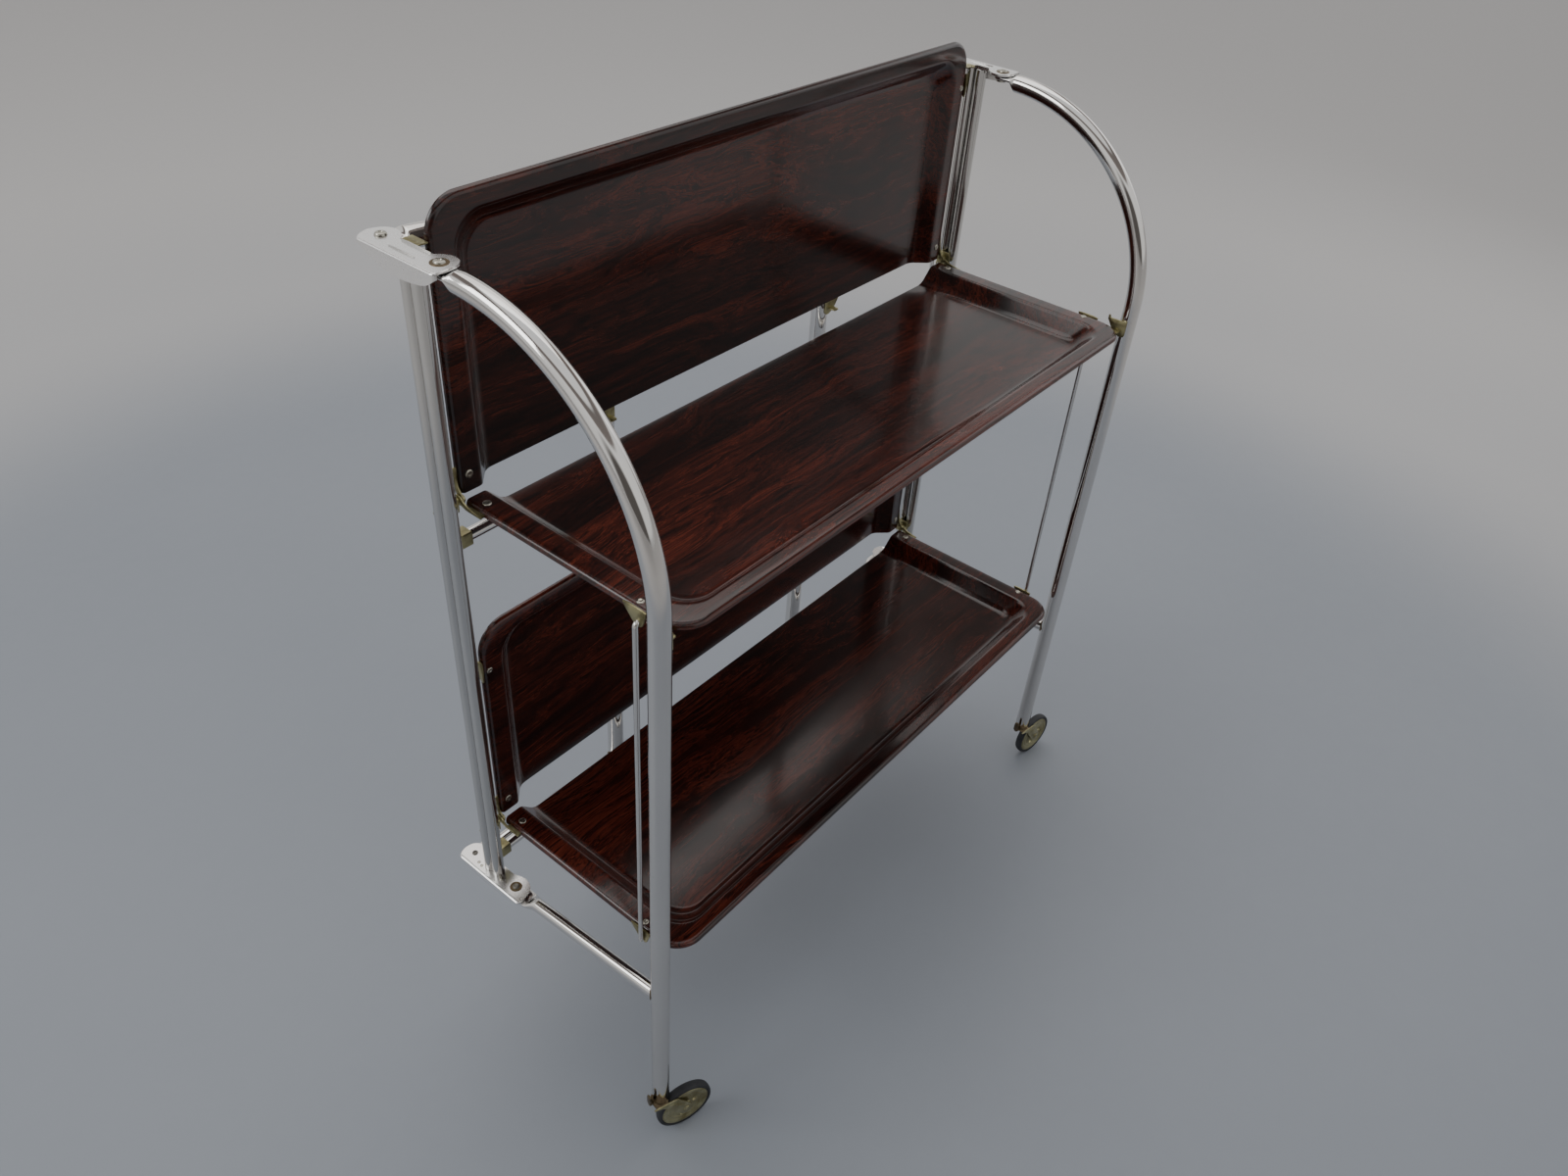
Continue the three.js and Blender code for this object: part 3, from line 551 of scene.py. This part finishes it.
for g, (fn, heading) in GATES.items():
    gb, cb, wb = f"gate_{g}", f"castor_{g}", f"wheel_{g}"
    make(f"leg_{g}", *mapped(leg(), fn), CHROME, gb, replaces=(f"gate_leg_{g}",), slot="chrome")
    make(f"bar_{g}", *mapped(bar(*BAR_Z[g.split("_")[0]]), fn), CHROME, gb, replaces=(f"gate_bar_{g}",), slot="chrome")
    make(f"braze_{g}", *mapped(braze(BAR_Z[g.split("_")[0]][1] - (0.8 if g[0] == "f" else 0)), fn), BRASS_DARK_AND_PAINTED_SHADE, gb, slot="brass")
    make(f"support_{g}", *mapped(support(), fn), BRASS, gb, replaces=(f"leaf_support_{g}",), slot="brass", angle=28)
    cx, cy, _ = fn(LEG_OUT, 0, 0)
    ca, sa = math.cos(heading), math.sin(heading)
    turn = lambda x, y, z, cx=cx, cy=cy, ca=ca, sa=sa: (cx + x * ca - y * sa, cy + x * sa + y * ca, z)
    saddle, cheek = fork()
    # the fork takes the darker brass as painted shade where it lies under the leg
    make(f"fork_{g}", *mapped(saddle, turn), BRASS_DARK_AND_PAINTED_SHADE, cb, replaces=(f"castor_fork_{g}",), slot="brass", angle=30)
    make(f"cheek_{g}", *mapped(cheek, turn), BRASS_HUB, cb, slot="brass", angle=30)
    make(f"hub_{g}", *mapped(hub(), turn), BRASS_HUB, wb, replaces=(f"castor_hub_{g}",), slot="brass", angle=50)
    make(f"tyre_{g}", *mapped(tyre(), turn), RUBBER, wb, replaces=(f"castor_tyre_{g}",), slot="rubber", angle=50)


# ---- frame: posts, brackets, stretchers, hinge plates ------------------------------------------------
def rivet_head(axis, c, r, h, sign=1, dimple=0.35):
    prof = [(0, h * (1 - dimple))]
    if dimple:
        prof += [(r * 0.30, h * (1 - dimple)), (r * 0.42, h * 0.97)]
    prof += [(r * 0.62, h), (r * 0.84, h * 0.82), (r * 0.97, h * 0.4), (r, 0), (0, 0)]
    return lathe([(a, sign * b) for a, b in prof], 28, axis, c, closed=False)


def tube(axis, r, bore, a, b, p, q, n=36):
    c = (0, p, q) if axis == "x" else (p, 0, q) if axis == "y" else (p, q, 0)
    return lathe([(bore, a), (r - 0.3, a), (r, a + 0.3), (r, b - 0.3), (r - 0.3, b), (bore, b)], n, axis, c)


def bracket(s, ztop, t, inner, outer, depth, y0, y1, bumps, rnd):
    """A folded sheet bracket as one skin: rows along y, from the inner edge over the fold and down the skirt."""
    rows, cols_top, cols_fold, cols_skirt = 96, 26, 6, 8
    out_v, under_v = [], []
    for i in range(rows + 1):
        k = i / rows
        k = 0.5 - 0.5 * math.cos(math.pi * k)
        y = y0 + (y1 - y0) * k
        a, b, d = inner(y), outer(y), max(depth(y), 0.3)
        r = min(rnd, max(0.2, (b - a) * 0.45), d)
        line = []
        for j in range(cols_top):
            o = a + (b - r - a) * j / (cols_top - 1)
            line.append((o, ztop + bumps(o, y), 0, 1))
        for j in range(1, cols_fold + 1):
            f = math.pi / 2 * j / cols_fold
            line.append((b - r + r * math.sin(f), ztop - r + r * math.cos(f), math.sin(f), math.cos(f)))
        for j in range(1, cols_skirt + 1):
            line.append((b, ztop - r - (d - r) * j / cols_skirt, 1, 0))
        out_v.append([(o, y, z) for o, z, _, _ in line])
        under_v.append([(max(o - nx * t, a if nx < 0.5 else o - t), y, min(z, ztop) - nz * t if nz > 0.5 else z) for o, z, nx, nz in line])
    V, F = [], []
    m = len(out_v[0])
    for grid in (out_v, under_v):
        for line in grid:
            V += line
    off = (rows + 1) * m
    idx = lambda i, j: i * m + j
    for i in range(rows):
        for j in range(m - 1):
            F.append((idx(i, j), idx(i + 1, j), idx(i + 1, j + 1), idx(i, j + 1)))
            F.append((off + idx(i, j), off + idx(i, j + 1), off + idx(i + 1, j + 1), off + idx(i + 1, j)))
        F.append((idx(i, 0), off + idx(i, 0), off + idx(i + 1, 0), idx(i + 1, 0)))
        F.append((idx(i, m - 1), idx(i + 1, m - 1), off + idx(i + 1, m - 1), off + idx(i, m - 1)))
    for j in range(m - 1):
        F.append((idx(0, j), idx(0, j + 1), off + idx(0, j + 1), off + idx(0, j)))
        F.append((idx(rows, j), off + idx(rows, j), off + idx(rows, j + 1), idx(rows, j + 1)))
    return [(s * (PIVOT_X + o), y, z) for o, y, z in V], F


def bumpf(o, y, oc, ow, ya, yb, h):
    """A pressed rib of half width ow centred on oc from ya to yb."""
    u = max(0.0, 1 - ((o - oc) / ow) ** 2)
    e = min(y - ya, yb - y)
    v = max(0.0, min(1.0, e / 2.2))
    return h * u * v * (2 - v)


top_inner = lambda y: lerp(y, [(-39.3, 2), (-38.6, -4), (-37.4, -7.4), (-35.8, -9.5), (-33.4, -11.1), (-30.5, -12), (-27.5, -12.1), (-24, -11.3), (-21, -9.8), (-18.8, -8), (-16.8, -5.4), (-15.4, -4.5), (15.4, -4.5), (17, -6), (18.8, -8), (21.4, -10.2), (24, -11.4), (27.5, -12.1), (31, -12), (34, -11), (36.4, -9.4), (38.6, -6.6), (40, -3.4), (40.8, 1)])
top_outer = lambda y: lerp(y, [(-39.3, 12.4), (-38.6, 13.4), (-37, 14), (33.4, 14), (34.4, 13.7), (36, 12.6), (38.2, 10.2), (40, 6.4), (40.8, 3)])
top_depth = lambda y: lerp(y, [(-39.3, 4.6), (-37, 6.5), (-34, 8.4), (-31, 9.8), (-26, 11.2), (-20, 12.3), (-12, 13.2), (-5, 13.5), (2, 13.4), (8, 12.6), (14, 11.2), (19, 9.5), (24, 7.6), (29, 5.2), (33, 3.0), (36, 2.2), (40.8, 2)])
low_inner = lambda y: lerp(y, [(-44, 3), (-43, -1.6), (-40.6, -6), (-38, -8.8), (-34, -10.8), (-30, -11.5), (-25, -11), (-20, -9.2), (-16, -8), (16, -8), (20, -9.4), (24, -10.9), (28.5, -11.5), (32, -10.9), (35, -9.4), (37.6, -7), (39.2, -4), (40, 1)])
low_outer = lambda y: lerp(y, [(-44, 10), (-43, 11.4), (-41.6, 12), (34.6, 12), (36, 11.4), (38, 9.6), (39.4, 6.4), (40, 3.4)])
low_depth = lambda y: lerp(y, [(-44, 2.2), (-41, 3.0), (-33, 5.2), (-24, 6.3), (-14, 7.0), (0, 7.2), (12, 6.5), (22, 5.3), (30, 3.6), (36, 2.2), (40, 2)])

for side, s in (("left", -1), ("right", 1)):
    posts = join(*[tube("z", POST_R, 4.2, POST_Z0, POST_Z1, s * POST_X, y) for y in (-POST_Y, POST_Y)])
    make(f"posts_{side}", *posts, CHROME_POST, "frame", replaces=(f"end_post_{side}",), slot="chrome")
    rv = []
    for z in (591.6, 245.5):
        rv += [lathe([(0, -9), (2.2, -9), (2.2, 9.9), (0, 9.9)], 20, "y", (s * POST_X, 0, z), closed=False), rivet_head("y", (s * POST_X, 9.9, z), 3.4, 1.9, 1, 0)]
    make(f"post_rivets_{side}", *join(*rv), BRASS, "frame", slot="brass")
    top_b = lambda o, y: -0.25 * max(0, 1 - ((o - 0.2) / 8.0) ** 2 - ((y - 28.6) / 8.0) ** 2)
    ribs = [slab("z", smoothed([(s * (PIVOT_X + a), y0r), (s * (PIVOT_X + b), y0r), (s * (PIVOT_X + b), y1r), (s * (PIVOT_X + a), y1r)], 1), PLATE_TOP - 0.6, PLATE_TOP + hr, 0.3) for a, b, y0r, y1r, hr in ((6.0, 7.5, -13.6, 11.2, 0.75), (-4.5, -2.9, -15.6, 12.4, 1.15))]
    make(f"bracket_ribs_{side}", *join(*ribs), CHROME_POST, "frame", slot="chrome", angle=40)
    make(f"bracket_top_{side}", *bracket(s, PLATE_TOP, 1.8, top_inner, top_outer, top_depth, -39.3, 40.8, top_b, 1.6), CHROME_WORN, "frame", replaces=(f"top_bracket_{side}",), slot="chrome", angle=50)
    low_b = lambda o, y: bumpf(o, y, 11.0, 1.0, -43, 36, 0.5)
    make(f"bracket_low_{side}", *bracket(s, PLATE_BOT, 1.8, low_inner, low_outer, low_depth, -44, 40, low_b, 1.4), CHROME_WORN, "frame", replaces=(f"bottom_bracket_{side}",), slot="chrome", angle=50)
    scr = []
    for y in (-PIVOT_Y, PIVOT_Y):
        scr += [rivet_head("z", (s * PIVOT_X, y, PLATE_TOP - 0.1), 4.1, 1.8), lathe([(0, 783), (5, 783), (5, 784.8), (3, 785), (3, PLATE_TOP), (0, PLATE_TOP)], 24, "z", (s * PIVOT_X, y, 0), closed=False)]
    make(f"pivot_top_{side}", *join(*scr), NICKEL, "frame", slot="chrome")
    scr = []
    for y in (-PIVOT_Y, PIVOT_Y):
        rp, hp = (3.3, 1.6) if y < 0 else (2.8, 1.2)
        scr += [rivet_head("z", (s * PIVOT_X, y, PLATE_BOT - 0.1), rp, hp), lathe([(0, 189.2), (4.2, 189.2), (4.8, 189.7), (4.8, 190.9), (3, 191), (3, 196.8), (0, 196.8)], 24, "z", (s * PIVOT_X, y, 0), closed=False)]
    make(f"pivot_low_{side}", *join(*scr), SCREW_DARK, "frame", slot="brass")
    # dark washers round the front pivots
    rings = [lathe([(ri, zr - 0.2), (ro - 0.3, zr - 0.2), (ro, zr), (ro - 0.2, zr + 0.35), (ri, zr + 0.35)], 36, "z", (s * PIVOT_X, -PIVOT_Y, 0)) for zr, ri, ro in ((PLATE_TOP, 3.9, 6.2), (PLATE_BOT, 3.1, 5.6))]
    make(f"pivot_washers_{side}", *join(*rings), BRASS_DARK_AND_PAINTED_SHADE, "frame", slot="brass")
    dots = [rivet_head("z", (s * (PIVOT_X + 3), -12, PLATE_BOT - 0.1), 2.3, 1.3, 1, 0), rivet_head("z", (s * (PIVOT_X + 4.5), 17.5, PLATE_BOT - 0.1), 1.6, 0.5, 1, 0), rivet_head("z", (s * (PIVOT_X + 5.5), 12.6, PLATE_BOT - 0.1), 1.5, 0.45, 1, 0)]
    make(f"bracket_rivets_{side}", *join(*dots), NICKEL, "frame", slot="chrome")
    # brass spring catch that holds the raised tray
    strip = []
    for k in range(15):
        a = k / 14
        x = 320.0 - 10.4 * a
        z = 789.6 + 1.5 * math.sin(a * 3.0) + (0.0 if a < 0.7 else (a - 0.7) * 4.0)
        strip.append((x, z))
    V, F = [], []
    for x, z in strip:
        for dy, dz in ((1.2, 0), (16.6, 0), (16.6, 0.9), (1.2, 0.9)):
            V.append((s * x, dy, z + dz - 1.0))
    for i in range(len(strip) - 1):
        for j in range(4):
            F.append((i * 4 + j, i * 4 + (j + 1) % 4, (i + 1) * 4 + (j + 1) % 4, (i + 1) * 4 + j))
    F += [(0, 1, 2, 3), tuple(len(V) - 4 + q for q in range(4))]
    make(f"catch_{side}", V, F, BRASS, "frame", slot="brass", angle=40)

for lvl, z in STRETCH.items():
    e = POST_X - POST_R - 0.3
    make(f"stretcher_{lvl}", *tube("x", 5.0, 4.0, -e + 0.5, e - 0.5, 0, z), CHROME_ROD, "frame", replaces=(f"{lvl}_stretcher",), slot="chrome")
    col = []
    for s in (-1, 1):
        col.append(slab("x", [(-5.1, z - 5.9), (5.1, z - 5.9), (5.9, z - 5.1), (5.9, z + 5.1), (5.1, z + 5.9), (-5.1, z + 5.9), (-5.9, z + 5.1), (-5.9, z - 5.1)], min(s * (e - 10.6), s * e), max(s * (e - 10.6), s * e), 0.6))
    make(f"stretcher_blocks_{lvl}", *join(*col), BRASS, "frame", slot="brass", angle=30)

for lvl, z in HINGE.items():
    for side, s in (("left", -1), ("right", 1)):
        o = smoothed([(-6.5, z - 5), (-5, z - 6.5), (5, z - 6.5), (6.5, z - 5), (6.5, z + 5), (5, z + 6.5), (-5, z + 6.5), (-6.5, z + 5)], 1)
        pl = slab("x", o, min(s * 316.8, s * 318.6), max(s * 316.8, s * 318.6), 0.35)
        pin = lathe([(0, s * 317.4), (2.1, s * 317.4), (2.1, s * 309.3), (3.2, s * 309.3), (3.2, s * 308.6), (2.4, s * 308.1), (0, s * 307.9)], 28, "x", (0, 0, z), closed=False)
        make(f"hinge_base_{lvl}_{side}", *join(pl, pin), BRASS, "frame", replaces=(f"hinge_plate_{lvl}_{side}",), slot="brass", angle=30)


# ---- trays -------------------------------------------------------------------------------------------
def leaf():
    def end(d):
        return LEAF_END + 2.6 * (1 - math.sqrt(1 - max(0.0, 1 - d / 5.0) ** 2))

    def front(d):
        """Inset along the front where the inset at the ends is d: the pressed wall is narrower there."""
        if d <= 5:
            return d
        if d <= SHOULDER:
            return 5 + (d - 5) * (SHOULDER_FRONT - 5) / (SHOULDER - 5)
        return SHOULDER_FRONT + (d - SHOULDER) * (PANEL_FRONT - SHOULDER_FRONT) / (PANEL - SHOULDER)

    def rad(d):
        if d <= 5:
            return LEAF_CORNER - d * 0.6
        if d <= SHOULDER:
            return 23 + 2 * (d - 5) / (SHOULDER - 5)
        return 25 - 3 * (d - SHOULDER) / (PANEL - SHOULDER)

    ARC = 22

    def ring(d, h):
        X, U, r, v = LEAF_X - d, LEAF_U - front(d), rad(d), []
        e = end(d)
        for u in (e, e + 1.5, e + 4, 12, 18, 26, 34, 48, 65, 82, 100, 120, 140):
            v.append((-X, u, h))
        for i in range(ARC + 1):
            a = math.pi / 2 * i / ARC
            v.append((-X + r - r * math.cos(a), U - r + r * math.sin(a), h))
        for k in range(1, 10):
            v.append((-X + r + (2 * X - 2 * r) * k / 10, U, h))
        return v + [(-q[0], q[1], h) for q in reversed(v[: 13 + ARC + 1])]

    ka = [SLOPE * i / 6 for i in range(7)]
    kb = [SLOPE * (1 - i / 8) for i in range(9)]
    shoulder = [(SHOULDER + SHOULDER_R * math.sin(a), -SHOULDER_R + SHOULDER_R * math.cos(a)) for a in ka]
    foot = [(PANEL - FOOT_R * math.sin(a), FOOT_R - DISH - FOOT_R * math.cos(a)) for a in kb]
    top = [(0.35, -RIM), (0, -RIM + 0.35), (0, -4.2)]
    top += [(4.2 - 4.2 * math.cos(a), -4.2 + 4.2 * math.sin(a)) for a in (0.3, 0.6, 0.9, 1.2, 1.4)] + [(4.2, 0), (8, 0), (12, 0), (15.5, 0)] + shoulder + foot
    low = lambda q, k: (q[0] - LEAF_T * math.sin(k), q[1] - LEAF_T * math.cos(k))
    under = [low(q, k) for q, k in zip(foot, kb)][::-1] + [low(q, k) for q, k in zip(shoulder, ka)][::-1]
    bot = under + [(12, -LEAF_T), (5, -LEAF_T), (3.6, -LEAF_T - 0.25), (2.7, -LEAF_T - 0.9), (LEAF_T, -LEAF_T - 1.9), (LEAF_T, -RIM + 0.35), (LEAF_T - 0.35, -RIM)]
    prof = top + bot
    rings = [ring(*p) for p in prof]
    n, K = len(rings[0]), len(top)
    V = [p for r in rings for p in r]
    F = []
    for r in range(len(rings)):
        q = (r + 1) % len(rings)
        if r == K - 1:
            continue
        for i in range(n - 1):
            F.append((r * n + i, q * n + i, q * n + i + 1, r * n + i + 1))
    for r in (K - 1, K):
        base = r * n
        half = (n + 1) // 2
        # panel in strips between mirrored points, so that the faces stay flat and even
        for i in range(half - 1):
            a, b, c, d = base + i, base + i + 1, base + n - 2 - i, base + n - 1 - i
            F.append((a, b, c, d) if len({a, b, c, d}) == 4 else (a, b, d))
    for i0 in (0, n - 1):
        F.append(tuple(r * n + i0 for r in range(len(rings))))
    F.append(((K - 1) * n, K * n, K * n + n - 1, (K - 1) * n + n - 1))
    return V, F


PLACE = {
    "front_upper": lambda x, u, h: (x, -u, HINGE["upper"] - DROP + h),
    "front_lower": lambda x, u, h: (x, -u, HINGE["lower"] - DROP + h),
    "rear_upper": lambda x, u, h: (x, DROP - h, HINGE["upper"] + u),
    "rear_lower": lambda x, u, h: (x, DROP - h, HINGE["lower"] + u),
}
LEAF = leaf()
for name, fn in PLACE.items():
    make(f"tray_{name}", *mapped(LEAF, fn), WOOD[name], f"leaf_{name}", replaces=(f"leaf_{name}",), slot="laminate", angle=28)
    rear = name.startswith("rear")
    for side, s in (("left", -1), ("right", 1)):
        w0 = 309.7 if rear else 311.6
        w1, h0 = w0 + 1.5, -LEAF_T - 0.3
        put = lambda x, u, h, fn=fn, s=s: fn(s * x, u, h)
        eye = [(4.4 * math.cos(a), DROP + 4.4 * math.sin(a)) for a in [math.radians(20 + i * 15.4) for i in range(16)]]
        web = slab("x", eye + [(3.0, -2.4), (8, h0 - 1.5), (24, h0 - 1.5), (24, h0 - 0.3), (15, -1.7), (9, -0.5), (5.6, 1.6)], w0, w1, 0.3)
        foot = slab("z", [(296.5, 9.5), (w0 + 0.5, 8.4), (w0 + 0.5, 24), (293.5, 22.5)], h0 - 1.5, h0, 0.3)
        make(f"lug_hinge_{name}_{side}", *mapped(join(web, foot), put), BRASS, f"leaf_{name}", replaces=(f"hinge_lug_{name}_{side}",), slot="brass", angle=30)
        tri = slab("x", smoothed([(163, 0.8), (163.3, -1.6), (172.6, -12.2), (174.6, -13.9), (ROD_U, -14.3), (179.4, -13.6), (181, -12), (184, -2), (184, 0.8)], 1), LEAF_X + 0.3, LEAF_X + 1.8, 0.3)
        shelf = slab("z", [(296.5, 164.5), (LEAF_X + 0.7, 163.6), (LEAF_X + 0.7, 183.6), (296.5, 180)], h0 - 1.4, h0, 0.3)
        make(f"lug_rod_{name}_{side}", *mapped(join(tri, shelf), put), BRASS, f"leaf_{name}", replaces=(f"rod_lug_{name}_{side}",), slot="brass", angle=30)
        heads = []
        for x, u, r in ((300.0, 16.0, 3.3), (303.0, 172.0, 2.9)):
            heads += [rivet_head("z", (x, u, -0.05), r, 0.78, 1, 0.3), rivet_head("z", (x, u, h0 - 1.4), r * 0.9, 1.3, -1, 0)]
        make(f"tray_rivets_{name}_{side}", *mapped(join(*heads), put), NICKEL, f"leaf_{name}", slot="brass")


# ---- tie rods ----------------------------------------------------------------------------------------
for row in ("front", "rear"):
    for side, s in (("left", -1), ("right", 1)):
        a = PLACE[f"{row}_upper"](s * ROD_X, ROD_U, ROD_H)
        b = PLACE[f"{row}_lower"](s * ROD_X, ROD_U, ROD_H)
        za, zb, y = a[2], b[2], a[1]
        rb = 3.0
        path = [(ROD_END, zb, 1, 0, 1.5), (ROD_END + 0.5, zb, 1, 0, 2.1)] + [(ROD_X - rb + rb * math.sin(t), zb + rb - rb * math.cos(t), math.cos(t), math.sin(t), 2.1) for t in [math.pi / 2 * i / 8 for i in range(9)]]
        path += [(ROD_X, zb + (za - zb) * k / 8, 0, 1, 2.1) for k in range(1, 8)]
        path += [(ROD_X - rb + rb * math.cos(t), za - rb + rb * math.sin(t), -math.sin(t), math.cos(t), 2.1) for t in [math.pi / 2 * i / 8 for i in range(9)]] + [(ROD_END + 0.5, za, -1, 0, 2.1), (ROD_END, za, -1, 0, 1.5)]
        V, F = sweep([(x, z, tx, tz, r, r, 2) for x, z, tx, tz, r in path], 20)
        V = [(s * x, yy + y, z) for x, yy, z in V]
        make(f"rod_{row}_{side}", V, F, CHROME_ROD, f"tie_rod_{row}_{side}", replaces=(f"tie_rod_{row}_{side}",), slot="chrome", angle=50)


# ---- floor, light, camera ----------------------------------------------------------------------------
def floor_material():
    k = Nodes("pale_floor")
    v = k.coords()
    big = k.noise(v, 0.9, 4.0, 0.55)
    small = k.noise(v, 45.0, 4.0, 0.6)
    col = k.mix(k.ramp(big, [(0.3, 0.0), (0.7, 1.0)]), (0.275, 0.298, 0.338), (0.302, 0.326, 0.366))
    col = k.mix(k.math("MULTIPLY", small, 0.10), col, (0.225, 0.24, 0.27))
    # the floor runs out into a lighter surround, as a studio sweep does
    far = k.n("ShaderNodeVectorMath", operation="LENGTH")
    k.link(v, far.inputs[0])
    col = k.mix(k.ramp(k.math("MULTIPLY", far.outputs["Value"], 0.25), [(0.27, 0.0), (0.42, 0.75), (0.60, 1.0)], "EASE"), col, (0.53, 0.52, 0.515))
    k.link(col, k.b.inputs["Base Color"])
    k.link(k.math("MULTIPLY_ADD", small, 0.12, 0.46), k.b.inputs["Roughness"])
    k.bump(small, 0.05, 0.001)
    return k.m


me = bpy.data.meshes.new("floor")
S = 14.0
me.from_pydata([(-S, -S, 0), (S, -S, 0), (S, S, 0), (-S, S, 0)], [], [(0, 1, 2, 3)])
floor = bpy.data.objects.new("floor", me)
me.materials.append(floor_material())
bpy.context.scene.collection.objects.link(floor)

world = bpy.data.worlds.new("world")
bpy.context.scene.world = world
world.use_nodes = True
wt = world.node_tree


def wnode(kind, **kw):
    x = wt.nodes.new(kind)
    for key, val in kw.items():
        setattr(x, key, val)
    return x


def wmath(op, a, b=0.0):
    x = wnode("ShaderNodeMath", operation=op)
    for i, val in enumerate((a, b)):
        if isinstance(val, bpy.types.NodeSocket):
            wt.links.new(val, x.inputs[i])
        else:
            x.inputs[i].default_value = val
    return x.outputs[0]


def wramp(fac, stops):
    x = wnode("ShaderNodeValToRGB")
    e = x.color_ramp.elements
    while len(e) < len(stops):
        e.new(0.5)
    for q, (pos, c) in zip(e, stops):
        q.position = pos
        q.color = (*c, 1)
    wt.links.new(fac, x.inputs["Fac"])
    return x.outputs["Color"]


def wmix(fac, a, b):
    x = wnode("ShaderNodeMix", data_type="RGBA")
    for sock, val in ((x.inputs[0], fac), (x.inputs[6], a), (x.inputs[7], b)):
        if isinstance(val, bpy.types.NodeSocket):
            wt.links.new(val, sock)
        else:
            sock.default_value = (*val, 1)
    return x.outputs[2]


# a pale room seen from its middle: grey floor below, white walls, duller ceiling, a darker side behind the viewer
bg = wt.nodes["Background"]
sep = wnode("ShaderNodeSeparateXYZ")
wt.links.new(wnode("ShaderNodeTexCoord").outputs["Generated"], sep.inputs[0])
up = wmath("MULTIPLY_ADD", sep.outputs["Z"], 0.5)
up.node.inputs[2].default_value = 0.5
room = wramp(up, [(0.0, (0.40, 0.40, 0.41)), (0.485, (0.50, 0.50, 0.50)), (0.499, (0.54, 0.54, 0.54)), (0.515, (0.86, 0.86, 0.85)), (0.80, (0.98, 0.98, 0.97)), (0.825, (0.24, 0.21, 0.20)), (0.905, (0.20, 0.18, 0.17)), (0.925, (1.0, 1.0, 1.0)), (1.0, (0.95, 0.96, 0.98))])


def sector(dx, dy, c0, c1):
    d = wmath("ADD", wmath("MULTIPLY", sep.outputs["X"], dx), wmath("MULTIPLY", sep.outputs["Y"], dy))
    return wramp(d, [(c0, (0, 0, 0)), (c1, (1, 1, 1))])


dark = wmath("MULTIPLY", wmath("MULTIPLY", sector(-0.66, -0.75, 0.80, 0.90), wramp(up, [(0.47, (0, 0, 0)), (0.50, (1, 1, 1)), (0.74, (1, 1, 1)), (0.80, (0, 0, 0))])), 0.93)
side = wmath("MULTIPLY", wmath("MULTIPLY", sector(0.97, -0.24, 0.90, 0.96), wramp(up, [(0.49, (0, 0, 0)), (0.51, (1, 1, 1)), (0.70, (1, 1, 1)), (0.74, (0, 0, 0))])), 0.8)
room = wmix(dark, room, (0.06, 0.05, 0.045))
room = wmix(side, room, (0.12, 0.10, 0.09))
far = wmath("MULTIPLY", wmath("MULTIPLY", sector(0.80, 0.60, 0.25, 0.55), wramp(up, [(0.72, (0, 0, 0)), (0.80, (1, 1, 1)), (0.93, (1, 1, 1)), (0.97, (0, 0, 0))])), 0.7)
room = wmix(far, room, (0.15, 0.10, 0.085))
wt.links.new(room, bg.inputs["Color"])
bg.inputs["Strength"].default_value = 0.85


def area(name, loc, aim, size, power, color=(1, 1, 1)):
    l = bpy.data.lights.new(name, "AREA")
    l.shape = "RECTANGLE"
    l.size, l.size_y = size
    l.energy, l.color = power, color
    o = bpy.data.objects.new(name, l)
    bpy.context.scene.collection.objects.link(o)
    o.location = loc
    o.rotation_mode = "QUATERNION"
    o.rotation_quaternion = (Vector(aim) - Vector(loc)).to_track_quat("-Z", "Y")
    return o


area("window", (-2.6, 1.3, 2.5), (0.0, 0.0, 0.5), (1.8, 1.4), 30, (0.97, 0.99, 1.0))
area("ceiling", (0.7, 0.9, 2.9), (0.1, 0.1, 0.3), (2.6, 2.0), 22, (1.0, 0.99, 0.97))
area("fill", (2.4, -0.6, 1.5), (0.0, 0.0, 0.5), (1.6, 1.6), 6, (0.97, 0.98, 1.0))

cam_data = bpy.data.cameras.new("camera")
cam = bpy.data.objects.new("camera", cam_data)
bpy.context.scene.collection.objects.link(cam)
bpy.context.scene.camera = cam
cam_data.sensor_width = 36.0
cam_data.lens = 1210.63 / 1600 * 36.0
cam_data.clip_start, cam_data.clip_end = 0.05, 40
rv = Vector((2.0924178385430388, -0.9499561454212566, 0.539689926046259))
R = Matrix.Rotation(rv.length, 3, rv.normalized())
rows = [Vector(R[i]) for i in range(3)]
M = Matrix((rows[0], -rows[1], -rows[2])).transposed().to_4x4()
M.translation = Vector((-0.7256139, -0.5998601, 1.0976643 - 0.0066))
cam.matrix_world = M
